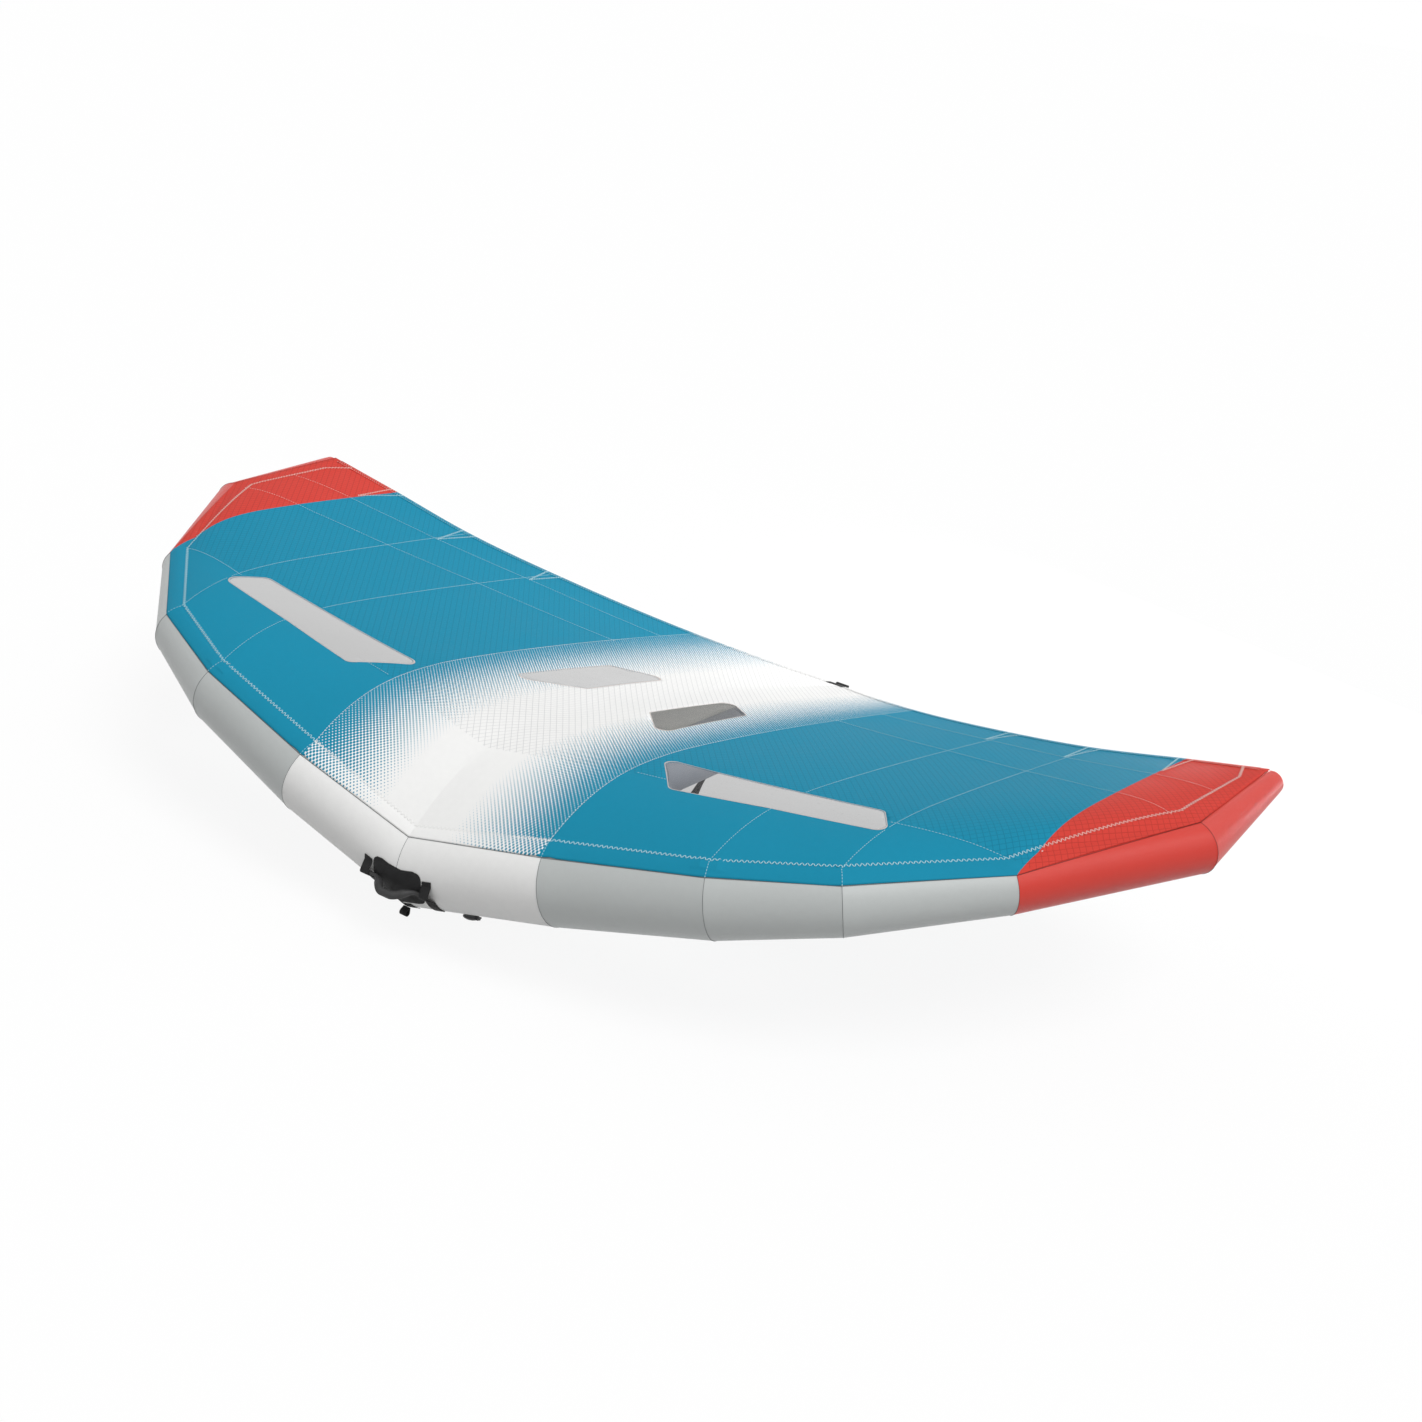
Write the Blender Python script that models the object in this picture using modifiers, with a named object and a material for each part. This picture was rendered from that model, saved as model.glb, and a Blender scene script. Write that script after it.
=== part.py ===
# Wingfoil wing: an inflatable hand-held wing with one strut, four windows and three handles.
# Metres, +Z up, +Y aft, span along X. The wing is modelled round its own centre and then stood
# on the origin, with the lowest handle at z = 0.
import math

import bmesh
import bpy
from mathutils import Matrix, Vector

# The wing's half span, along the trailing edge, and its chord on the centre line.
TIP_WIDTH = 1.600
CANOPY_CHORD = 2.035

# Leading edge tube, one side, from the centre seam out to the tip. The first four lengths follow
# the span, and the two that run aft follow the chord.
FRONT_LENGTH_shares = (0.25125, 0.25125, 0.18, 0.238125)
AFT_LENGTH_shares = (0.26093, 0.22113)
SEGMENT_LENGTHS = ([TIP_WIDTH * share for share in FRONT_LENGTH_shares]
                   + [CANOPY_CHORD * share for share in AFT_LENGTH_shares])
SEGMENT_SWEEPS = (2.2, 9.3, 20.6, 41.8, 59.8, 86.8)
SEGMENT_RISES = (12.9, 12.5, 12.2, 8.9, 6.6, 7.3)
SEAM_DIAMETERS = (0.240, 0.228, 0.209, 0.176, 0.134, 0.135, 0.064)
CASING_WALL = 0.0008
BLADDER_WALL = 0.0005
BLADDER_CLEARANCE = 0.0012
SEAM_GAP = 0.0003
TIP_ROUNDING = 0.006
TIP_CAP_ROW_share = 0.3
CREST_MARGIN_share = 0.25

# Canopy: degrees round the tube from its top, forward of it negative.
SEAM_ANGLES = (-45.0, -45.0, -46.0, -46.0, -42.0, -5.0, 22.0)
LEAVE_ANGLES = (-30.0, -21.0, -22.0, -17.0, 0.0, 0.0, 0.0)
CANOPY_CLOTH = 0.0008
CANOPY_LIFT = 0.0015
TIP_CHORD_share = 0.652
CANOPY_CAMBER = 0.195
CAMBER_SPREAD = 0.880
CAMBER_PEAK_share = 0.266
CAMBER_RISE_POWER = 2.9
CAMBER_FALL_POWER = 1.33
CAMBER_TIP_FADE = 0.250
TIP_HEIGHT = 0.444
SEAM_SPAN_shares = (0.0, 0.2525, 0.516, 0.689, 0.856, 1.0)
TRAILING_DEPTH_shares = (1.0, 0.600, 0.297, 0.147, 0.071, 0.0)
TRAILING_START_STEEPNESS = 1.15

# Windows: corners as shares of the half span and of the chord there.
FRONT_WINDOW_shares = ((0.322, 0.140), (0.662, 0.115), (0.620, 0.217), (0.245, 0.232))
REAR_WINDOW_shares = ((0.067, 0.397), (0.157, 0.320), (0.147, 0.566), (0.068, 0.605))
WINDOW_ROUNDING = 0.025
WINDOW_GAP = 0.0004
WINDOW_FILM = 0.0005
WINDOW_MARGIN_share = 0.02

# Strut, the inflated tube under the centre line.
STRUT_DIAMETER = 0.180
STRUT_TAIL_DIAMETER = 0.094
STRUT_DROP = 0.009
STRUT_TAIL_DROP = 0.024
STRUT_TAPER_share = 0.6683
STRUT_TAIL_share = 0.93366
STRUT_TAPER_PLACE = CANOPY_CHORD * STRUT_TAPER_share
STRUT_TAIL_PLACE = CANOPY_CHORD * STRUT_TAIL_share
STRUT_TAIL_ROUNDING = 0.030
STRUT_TAIL_ROW_shares = (0.4, 0.75, 1.0)
STRUT_TAIL_CLOSING_share = 0.9
STRUT_BLADDER_NOSE = 0.150
STRUT_BLADDER_NOSE_share = 0.7
RIB_CLOTH = 0.0008
RIB_NOSE_share = 0.4
FIT_GAP = 0.0003

# Handles under the strut.
FRONT_HANDLE_share = 0.19656
REAR_HANDLE_share = 0.47420
FRONT_HANDLE_PLACE = CANOPY_CHORD * FRONT_HANDLE_share
REAR_HANDLE_PLACE = CANOPY_CHORD * REAR_HANDLE_share
HANDLE_SPREAD = 0.335
HANDLE_DROP = 0.092
NECK_RADIUS = 0.0032
NECK_LENGTH = 0.030
NECK_END_share = 0.10
NECK_SPREAD_share = 0.16
WEBBING_WIDTH = 0.026
WEBBING_THICKNESS = 0.0028
GRIP_DIAMETER = 0.032
GRIP_CLEARANCE = 0.0004
GRIP_START_share = 0.3
GRIP_END_share = 0.86
HANDLE_BOW_shares = ((0.17, 0.36), (0.27, 0.80), (0.38, 0.97), (0.47, 1.0))
PATCH_LENGTH = 0.070
PATCH_THICKNESS = 0.0012

# Handle on the leading edge.
STRIP_PLACE = 0.089
STRIP_WIDTH = 0.025
STRIP_THICKNESS = 0.0016
STRIP_TOP_ANGLE = -95.0
STRIP_BOTTOM_ANGLE = -152.0
STRIP_LIFT = 0.0010
PAD_WIDTH = 0.146
PAD_THICKNESS = 0.0020
PAD_TOP_ANGLE = -85.0
PAD_BOTTOM_ANGLE = -134.0
PAD_CORNER_share = 0.45
PAD_CORNER_DEPTH_share = 0.35
PAD_ROW_shares = (0.0, 0.04, 0.12, 0.25, 0.5, 0.75, 0.88, 0.96, 1.0)
LE_GRIP_DIAMETER = 0.021
LE_GRIP_NECK_DIAMETER = 0.010
LE_GRIP_SWELL_share = 2.2
LE_GRIP_ANGLE = -112.0
LE_GRIP_BOW = 0.036
LE_GRIP_STANDOFF = 0.0075
LE_GRIP_END = 0.011
LE_GRIP_RISE_share = 0.82
STRIP_SHOULDER_share = 0.85
STRIP_FOOT_share = 4.0
GRIP_SPAN_shares = (-1.0, -0.72, -0.56, -0.48, -0.40, -0.32, -0.24, -0.12, 0.0,
                    0.12, 0.24, 0.32, 0.40, 0.48, 0.56, 0.72, 1.0)

# Leash loop and tail loop, folded webbing.
LOOP_TOP_RADIUS = 0.0022
LOOP_EYE_share = 0.2
LEASH_LOOP_REACH = 0.013
LEASH_LOOP_RADIUS = 0.0085
LEASH_LOOP_WALL = 0.0020
LEASH_LOOP_WIDTH = 0.020
LEASH_ANGLE = -149.0
LEASH_PATCH_SIZE = 0.044
TAIL_PATCH_WIDTH = 0.060
TAIL_PATCH_DEPTH = 0.030
TAIL_PATCH_THICKNESS = 0.0012
TAIL_LOOP_REACH = 0.0062
TAIL_LOOP_RADIUS = 0.0045
TAIL_LOOP_WALL = 0.0014
TAIL_LOOP_WIDTH = 0.044

# Inflation valve and the hose between the bladders.
VALVE_PLACE = 0.157
VALVE_ANGLE = -165.0
VALVE_RADIUS = 0.0190
VALVE_BORE_RADIUS = 0.0110
VALVE_INSIDE = 0.014
VALVE_OUTSIDE = 0.004
VALVE_CAP_RADIUS = 0.0205
VALVE_CAP_HEIGHT = 0.0085
VALVE_CAP_CROWN = 0.003
VALVE_CAP_ROW_shares = ((0.55, 0.2), (0.85, 1.0), (1.0, 2.0))
VALVE_PLUG_DEPTH = 0.004
VALVE_PLUG_CLEARANCE = 0.0012
VALVE_HINGE_REACH = 0.0245
VALVE_HINGE_RADIUS = 0.0022
VALVE_HINGE_WIDTH = 0.012
LE_PORT_PLACE = 0.157
LE_PORT_ANGLE = 140.0
STRUT_PORT_PLACE = 0.300
STRUT_PORT_ANGLE = 120.0
PORT_RADIUS = 0.0110
PORT_BORE_RADIUS = 0.0055
PORT_INSIDE = 0.008
PORT_OUTSIDE = 0.020
PORT_NIPPLE_share = 0.333
PORT_COLLAR_share = 0.25
HOSE_RADIUS = 0.0080
HOSE_LEAD = 0.070
CLAMP_LENGTH = 0.026
CLAMP_WIDTH = 0.028
CLAMP_HEIGHT = 0.024
CLAMP_BORE_CLEARANCE = 0.0010
CLAMP_BEVEL = 0.002
CLAMP_PLACE_share = 0.5
CLAMP_AIM_share = 0.05
LEVER_THICKNESS = 0.0040
LEVER_WIDTH = 0.014
LEVER_OVERHANG = 0.010
LEVER_BEVEL_share = 0.45
CUT_OVERRUN = 0.020

# Counts.
TUBE_SIDES = 24
STRUT_SIDES = 20
PATCH_SPOKES = 2
TIP_SEAM = 4
BAND_ROWS = 6
CHORD_ROW_shares = (0.025, 0.05, 0.08, 0.12, 0.18, 0.26, 0.37, 0.50, 0.64, 0.76, 0.88, 1.0)
PANEL_COLUMNS = (5, 4, 3, 10)
TIP_COLUMN_shares = (0.0, 0.25, 0.5, 0.7, 0.85, 0.94, 1.0)
TIP_ROW_shares = (0.0, 0.02, 0.045, 0.08, 0.14, 0.24, 0.38, 0.55, 0.70, 0.85, 1.0)
TURN_STEPS = 24
CORNER_STEPS = 5
FILM_GRID = (8, 5)
SECTION_SIDES = 10
WEBBING_SQUARENESS = 0.7
LE_GRIP_SIDES = 12
STRIP_ROWS = 48
LOOP_TOP_STEPS = 6
LOOP_BOTTOM_STEPS = 14
HOSE_BENDS = 12
RIB_NOSE_STEPS = 8
HALVINGS = 20

# Cloth, webbing, film and plastic: base colour and roughness.
FINISHES = {
    "white_cloth": ((0.80, 0.80, 0.78), 0.60),
    "grey_cloth": ((0.36, 0.38, 0.39), 0.60),
    "red_cloth": ((0.66, 0.07, 0.05), 0.60),
    "blue_cloth": ((0.01, 0.29, 0.44), 0.55),
    "pale_cloth": ((0.62, 0.61, 0.57), 0.65),
    "film": ((0.75, 0.77, 0.78), 0.15),
    "bladder_film": ((0.72, 0.74, 0.74), 0.30),
    "black_webbing": ((0.02, 0.02, 0.02), 0.80),
    "black_foam": ((0.03, 0.03, 0.03), 0.90),
    "black_plastic": ((0.02, 0.02, 0.02), 0.40),
}
SEGMENT_FINISHES = ("white_cloth", "grey_cloth", "grey_cloth", "grey_cloth", "red_cloth", "red_cloth")
PANEL_NAMES = ("inner", "middle", "outer")

UP = Vector((0.0, 0.0, 1.0))
SPANWISE = Vector((1.0, 0.0, 0.0))
AFT = Vector((0.0, 1.0, 0.0))


def collection(name):
    found = bpy.data.collections.new(name)
    bpy.context.scene.collection.children.link(found)
    return found


def finish(obj, finish_name):
    colour, roughness = FINISHES[finish_name]
    made = bpy.data.materials.new(obj.name + "_material")
    made.use_nodes = True
    shader = made.node_tree.nodes["Principled BSDF"]
    shader.inputs["Base Color"].default_value = (*colour, 1.0)
    shader.inputs["Roughness"].default_value = roughness
    shader.inputs["Metallic"].default_value = 0.0
    made.diffuse_color = (*colour, 1.0)
    obj.data.materials.clear()
    obj.data.materials.append(made)


def add_mesh(name, mesh_builder, where, finish_name=None):
    # Makes a mesh object at the world origin from a bmesh and links it.
    mesh = bpy.data.meshes.new(name)
    mesh_builder.to_mesh(mesh)
    mesh_builder.free()
    obj = bpy.data.objects.new(name, mesh)
    where.objects.link(obj)
    if finish_name:
        finish(obj, finish_name)
        mesh.shade_smooth()
        mesh.set_sharp_from_angle(angle=math.radians(35.0))
    return obj


def as_mesh(obj, where, finish_name=None):
    # Replaces a curve or a stack of modifiers by its evaluated mesh, with the caps welded.
    bpy.context.view_layer.update()
    evaluated = obj.evaluated_get(bpy.context.evaluated_depsgraph_get())
    mesh = bpy.data.meshes.new_from_object(evaluated)
    welder = bmesh.new()
    welder.from_mesh(mesh)
    bmesh.ops.remove_doubles(welder, verts=welder.verts, dist=1e-6)
    bmesh.ops.recalc_face_normals(welder, faces=welder.faces)
    name = obj.name
    matrix = obj.matrix_world.copy()
    bpy.data.objects.remove(obj)
    made = add_mesh(name, welder, where, finish_name)
    made.name = name
    made.matrix_world = matrix
    return made


def set_origin(obj, place):
    # Moves an object's origin to a world place and keeps its mesh where it is.
    shift = obj.matrix_world.inverted() @ place
    obj.data.transform(Matrix.Translation(-shift))
    obj.matrix_world = obj.matrix_world @ Matrix.Translation(shift)


def as_cutter(obj):
    obj.hide_render = True
    obj.display_type = 'WIRE'
    return obj


def boolean(obj, other, operation):
    cut = obj.modifiers.new(operation.lower() + "_" + other.name, 'BOOLEAN')
    cut.operation = operation
    cut.object = other
    cut.solver = 'EXACT'


def thicken(obj, thickness, offset):
    shell = obj.modifiers.new("wall", 'SOLIDIFY')
    shell.thickness = thickness
    shell.offset = offset
    shell.use_even_offset = True


def loft(rings, closed=True, cap_first=False, cap_last=False):
    # Quads between rings of equal counts. A closed ring runs from the top towards +Y, and the
    # rings run towards +X, so the faces point out.
    made = bmesh.new()
    verts = [[made.verts.new(point) for point in ring] for ring in rings]
    count = len(rings[0])
    spans = count if closed else count - 1
    for first, second in zip(verts, verts[1:]):
        for k in range(spans):
            n = (k + 1) % count
            made.faces.new((first[k], second[k], second[n], first[n]))
    if cap_first:
        made.faces.new(verts[0])
    if cap_last:
        made.faces.new(list(reversed(verts[-1])))
    return made


def solid_loft(rings):
    made = loft(rings, True, True, True)
    bmesh.ops.recalc_face_normals(made, faces=made.faces)
    return made


def shell_loft(outer, inner, cap):
    # A tube with a wall, open at both ends or, with cap, closed at its last ring.
    rings = list(reversed(inner)) + list(outer)
    if not cap:
        rings.append(inner[-1])
    made = loft(rings, True, cap, cap)
    bmesh.ops.remove_doubles(made, verts=made.verts, dist=1e-7)
    bmesh.ops.recalc_face_normals(made, faces=made.faces)
    return made


def grid(rows):
    # Rows run aft and their points run towards +X, so the faces point up.
    made = bmesh.new()
    verts = [[made.verts.new(point) for point in row] for row in rows]
    for front, back in zip(verts, verts[1:]):
        for k in range(len(front) - 1):
            made.faces.new((front[k], front[k + 1], back[k + 1], back[k]))
    return made


def mirrored(rows):
    # The left hand twin of rows whose points run towards +X.
    return [[Vector((-point.x, point.y, point.z)) for point in reversed(row)] for row in rows]


def mirrored_lengths(rings):
    # The left hand twin of a tube's rings, still from its first to its last.
    return [[Vector((-point.x, point.y, point.z)) for point in ring] for ring in rings]


def tip_to_tip(rings):
    # A tube of both hands from the rings of the right hand one.
    return list(reversed(mirrored_lengths(rings)))[:-1] + rings


def lerp(first, second, share):
    return first + (second - first) * share


def at_share(values, position):
    # Reads a list between its entries.
    index = min(int(position), len(values) - 2)
    return lerp(values[index], values[index + 1], position - index)


def smooth_path(points, steps):
    # Catmull-Rom curve through the points.
    ends = [points[0] * 2 - points[1]] + list(points) + [points[-1] * 2 - points[-2]]
    path = []
    for k in range(1, len(ends) - 2):
        p0, p1, p2, p3 = ends[k - 1], ends[k], ends[k + 1], ends[k + 2]
        for step in range(steps):
            t = step / steps
            path.append(0.5 * (2 * p1 + (p2 - p0) * t + (2 * p0 - 5 * p1 + 4 * p2 - p3) * t ** 2
                               + (3 * p1 - p0 - 3 * p2 + p3) * t ** 3))
    path.append(points[-1].copy())
    return path


def turned(name, profile, matrix, where, finish_name, ring=False):
    # A profile of (radius, height) pairs, down its outer side, turned about its own Z axis.
    mesh = bmesh.new()
    verts = [mesh.verts.new((radius, 0.0, height)) for radius, height in profile]
    for first, second in zip(verts, verts[1:]):
        mesh.edges.new((first, second))
    if ring:
        mesh.edges.new((verts[-1], verts[0]))
    obj = add_mesh(name, mesh, where)
    screw = obj.modifiers.new("turn", 'SCREW')
    screw.axis = 'Z'
    screw.steps = TURN_STEPS
    screw.render_steps = TURN_STEPS
    screw.use_merge_vertices = True
    screw.merge_threshold = 1e-6
    obj.matrix_world = matrix
    return as_mesh(obj, where, finish_name)


def cylinder(name, radius, start, end, where):
    # A closed cylinder from one place to another, used as a cutter.
    made = bmesh.new()
    axis = end - start
    bmesh.ops.create_cone(made, cap_ends=True, segments=TURN_STEPS, radius1=radius, radius2=radius,
                          depth=axis.length)
    obj = add_mesh(name, made, where)
    obj.matrix_world = Matrix.LocRotScale((start + end) / 2, UP.rotation_difference(axis), None)
    return as_cutter(obj)


def flat_outline(name, points, low, high, where):
    # A closed plan outline given depth from one height to another.
    curve = bpy.data.curves.new(name, 'CURVE')
    curve.dimensions = '2D'
    curve.fill_mode = 'BOTH'
    curve.extrude = (high - low) / 2
    spline = curve.splines.new('POLY')
    spline.points.add(len(points) - 1)
    for slot, point in zip(spline.points, points):
        slot.co = (point[0], point[1], 0.0, 1.0)
    spline.use_cyclic_u = True
    obj = bpy.data.objects.new(name, curve)
    where.objects.link(obj)
    obj.location.z = (high + low) / 2
    return as_mesh(obj, where)


# Leading edge tube.
def tube_axis():
    points = [Vector((0.0, 0.0, 0.0))]
    for length, sweep, rise in zip(SEGMENT_LENGTHS, SEGMENT_SWEEPS, SEGMENT_RISES):
        flat = math.cos(math.radians(rise))
        sweep = math.radians(sweep)
        step = Vector((flat * math.cos(sweep), flat * math.sin(sweep), math.sin(math.radians(rise))))
        points.append(points[-1] + step * length)
    return points


AXIS = tube_axis()
RADII = [diameter / 2 for diameter in SEAM_DIAMETERS]
DIRECTIONS = [(second - first).normalized() for first, second in zip(AXIS, AXIS[1:])]


def seam_normal(station):
    if station == 0:
        return SPANWISE
    if station == len(AXIS) - 1:
        return DIRECTIONS[-1]
    return (DIRECTIONS[station - 1] + DIRECTIONS[station]).normalized()


def seam_point(station, radius, angle):
    # A point of the mitred seam ring: the circle widens in the mitre by 1 / cos of half the bend.
    normal = seam_normal(station)
    high = (UP - normal * UP.dot(normal)).normalized()
    back = high.cross(normal)
    turn = math.radians(angle)
    spoke = high * math.cos(turn) + back * math.sin(turn)
    direction = DIRECTIONS[min(station, len(DIRECTIONS) - 1)]
    slope = direction - normal * direction.dot(normal)
    if slope.length > 1e-6:
        bend = slope.normalized()
        spoke = spoke + bend * spoke.dot(bend) * (1 / direction.dot(normal) - 1)
    return AXIS[station] + spoke * radius


def tube_point(station, angle, lift):
    # A place on the tube at a station between the seams, left hand stations negative.
    position = abs(station)
    index = min(int(position), len(DIRECTIONS) - 1)
    first = seam_point(index, RADII[index] + lift, angle)
    second = seam_point(index + 1, RADII[index + 1] + lift, angle)
    point = lerp(first, second, position - index)
    if station < 0:
        point.x = -point.x
    return point


def tube_ring(station, inset, shift):
    # The ring of a seam, smaller by inset and shifted along the tube.
    step = 360.0 / TUBE_SIDES
    offset = seam_normal(station) * shift
    return [seam_point(station, RADII[station] - inset, step * k) + offset for k in range(TUBE_SIDES)]


def tube_top(x, y):
    # Height of the tube's upper surface over a plan point, or None beside the tube.
    found = None
    for index, direction in enumerate(DIRECTIONS):
        base = AXIS[index]
        length = SEGMENT_LENGTHS[index]
        flare = (RADII[index + 1] - RADII[index]) / length
        dx, dy = x - base.x, y - base.y
        along = dx * direction.x + dy * direction.y
        radius = RADII[index] + flare * along
        a = 1 - direction.z ** 2 * (1 + flare ** 2)
        b = -2 * direction.z * (along + radius * flare)
        c = dx ** 2 + dy ** 2 - along ** 2 - radius ** 2
        root = b * b - 4 * a * c
        if root < 0:
            continue
        height = (-b + math.sqrt(root)) / (2 * a)
        place = along + direction.z * height
        margin = RADII[index] * CREST_MARGIN_share
        if -margin <= place <= length + margin:
            height += base.z
            found = height if found is None else max(found, height)
    return found


# Canopy surface. All of it is worked out on the right hand side, with x positive.
LEAVE_POINTS = [seam_point(k, RADII[k], angle) for k, angle in enumerate(LEAVE_ANGLES)]


def front_line(x):
    # Where the canopy leaves the tube, as (y, z).
    for first, second in zip(LEAVE_POINTS[:-2], LEAVE_POINTS[1:-1]):
        if x <= second.x:
            share = (x - first.x) / (second.x - first.x)
            return lerp(first.y, second.y, share), lerp(first.z, second.z, share)
    last = LEAVE_POINTS[-2]
    return last.y, last.z


def trailing_line(x):
    # The trailing edge, as (y, z): a smooth line through the seams' ends.
    share = min(x / TIP_WIDTH, 1.0)
    tip_chord = CANOPY_CHORD * TIP_CHORD_share
    spans, depths = SEAM_SPAN_shares, TRAILING_DEPTH_shares
    k = max(i for i in range(len(spans) - 1) if spans[i] <= share)
    slopes = [(depths[i + 1] - depths[i]) / (spans[i + 1] - spans[i]) for i in range(len(spans) - 1)]
    middle_knots = [(a + b) / 2 for a, b in zip(slopes, slopes[1:])]
    knots = [slopes[0] * TRAILING_START_STEEPNESS] + middle_knots + [slopes[-1]]
    width = spans[k + 1] - spans[k]
    t = (share - spans[k]) / width
    depth = ((2 * t ** 3 - 3 * t ** 2 + 1) * depths[k] + (t ** 3 - 2 * t ** 2 + t) * width * knots[k]
             + (3 * t ** 2 - 2 * t ** 3) * depths[k + 1] + (t ** 3 - t ** 2) * width * knots[k + 1])
    return tip_chord + (CANOPY_CHORD - tip_chord) * depth, TIP_HEIGHT * share


def camber_shape(share):
    if share < CAMBER_PEAK_share:
        return 1 - (1 - share / CAMBER_PEAK_share) ** CAMBER_RISE_POWER
    return 1 - ((share - CAMBER_PEAK_share) / (1 - CAMBER_PEAK_share)) ** CAMBER_FALL_POWER


def camber_span(x):
    # The camber falls off away from the strut, and is gone at the tip's outer edge.
    near_tip = 1 - min(max((TIP_WIDTH - x) / CAMBER_TIP_FADE, 0.0), 1.0)
    return math.exp(-x / CAMBER_SPREAD) * (1 - near_tip ** 2)


def chord_place(x, share):
    # Plan place of a chord share, measured from where the canopy leaves the tube.
    return lerp(front_line(x)[0], trailing_line(x)[0], share)


def canopy_z(x, y):
    # Underside of the canopy. Over the tube it follows the tube, a named lift above it.
    x = abs(x)
    front_y, front_z = front_line(x)
    trailing_y, trailing_z = trailing_line(x)
    share = (y - front_y) / (trailing_y - front_y)
    top = tube_top(x, y)
    if share <= 0.0:
        return front_z + CANOPY_LIFT if top is None else top + CANOPY_LIFT
    share = min(share, 1.0)
    camber = CANOPY_CAMBER * camber_span(x) * camber_shape(share)
    height = lerp(front_z, trailing_z, share) + camber + CANOPY_LIFT
    return height if top is None else max(height, top + CANOPY_LIFT)


def plan_column(position):
    # Plan of a chordwise line: round the tube with it, and then straight to the trailing edge.
    seam = at_share(SEAM_ANGLES, position)
    leave = at_share(LEAVE_ANGLES, position)
    end_x = TIP_WIDTH * at_share(SEAM_SPAN_shares, position)
    end = Vector((end_x, trailing_line(end_x)[0]))
    points = []
    for k in range(BAND_ROWS + 1):
        on_tube = tube_point(position, lerp(seam, leave, k / BAND_ROWS), CANOPY_LIFT)
        points.append(Vector((on_tube.x, on_tube.y)))
    start = points[-1]
    return points + [start.lerp(end, share) for share in CHORD_ROW_shares]


def canopy_column(station, shift):
    # One chordwise line of the canopy, from its sewn front edge on the tube to the trailing edge.
    side = -1.0 if station < 0 else 1.0
    position = abs(station)
    points = plan_column(position)
    pull = position - TIP_SEAM + 1
    if pull > 0:
        # The tip panel's seam is straight, and the lines before it turn towards it.
        last = plan_column(TIP_SEAM)
        slope = (last[-1].x - last[0].x) / (last[-1].y - last[0].y)
        for point, other in zip(points, last):
            point.x += pull * (last[0].x + slope * (other.y - last[0].y) - other.x)
    column = []
    for point in points:
        x = point.x + shift * side
        column.append(Vector((x * side, point.y, canopy_z(x, point.y))))
    return column


def panel_rows(first, last, columns):
    # Chordwise columns from one station to another, turned into rows that run towards +X.
    stations = [lerp(first, last, k / columns) for k in range(columns + 1)]
    shifts = [0.0] * len(stations)
    shifts[0] = SEAM_GAP / 2
    shifts[-1] = -SEAM_GAP / 2
    lines = [canopy_column(station, shift) for station, shift in zip(stations, shifts)]
    return [list(row) for row in zip(*lines)]


def tip_rows():
    # The red tip panel: its front edge lies on one tube length and its outer edge on the next.
    corner_stations = (TIP_SEAM, TIP_SEAM + 1, TIP_SEAM + 2)
    inner, corner, tip = [tube_point(k, SEAM_ANGLES[k], CANOPY_LIFT) for k in corner_stations]
    seam_x = TIP_WIDTH * SEAM_SPAN_shares[TIP_SEAM]
    seam_y = trailing_line(seam_x)[0]
    inner_x = inner.x + SEAM_GAP / 2
    seam_x += SEAM_GAP / 2
    rows = []
    for v in TIP_ROW_shares:
        row = []
        for u in TIP_COLUMN_shares:
            x = lerp(lerp(inner_x, corner.x, u), lerp(seam_x, tip.x, u), v)
            y = lerp(lerp(inner.y, corner.y, u), lerp(seam_y, tip.y, u), v)
            row.append(Vector((x, y, canopy_z(x, y))))
        rows.append(row)
    return rows


def rounded_outline(corners, radius, inset):
    # A polygon with round corners, moved in by inset (out when it is negative).
    count = len(corners)
    moved = []
    for k in range(count):
        before, here, after = corners[k - 1], corners[k], corners[(k + 1) % count]
        to_here = (here - before).normalized()
        to_after = (after - here).normalized()
        normal = Vector((-to_here.y, to_here.x)) + Vector((-to_after.y, to_after.x))
        normal.normalize()
        spread = normal.dot(Vector((-to_here.y, to_here.x)))
        moved.append(here + normal * inset / spread)
    points = []
    for k in range(count):
        before, here, after = moved[k - 1], moved[k], moved[(k + 1) % count]
        to_before = (before - here).normalized()
        to_after = (after - here).normalized()
        half = to_before.angle(to_after) / 2
        reach = radius / math.tan(half)
        centre = here + (to_before + to_after).normalized() * radius / math.sin(half)
        start = here + to_before * reach - centre
        swing = math.pi - 2 * half
        for step in range(CORNER_STEPS + 1):
            turn = swing * step / CORNER_STEPS
            cos, sin = math.cos(turn), math.sin(turn)
            points.append(centre + Vector((start.x * cos - start.y * sin, start.x * sin + start.y * cos)))
    return points


def window_corners(shares):
    places = []
    for span, chord in shares:
        x = TIP_WIDTH * span
        places.append(Vector((x, chord_place(x, chord))))
    return places


def window_cutter(name, shares, side, inset, cutters):
    points = rounded_outline(window_corners(shares), WINDOW_ROUNDING, inset)
    points = [(point.x * side, point.y) for point in points]
    if side < 0:
        points.reverse()
    return as_cutter(flat_outline(name, points, -CANOPY_CAMBER, TIP_HEIGHT + CANOPY_CAMBER, cutters))


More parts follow.
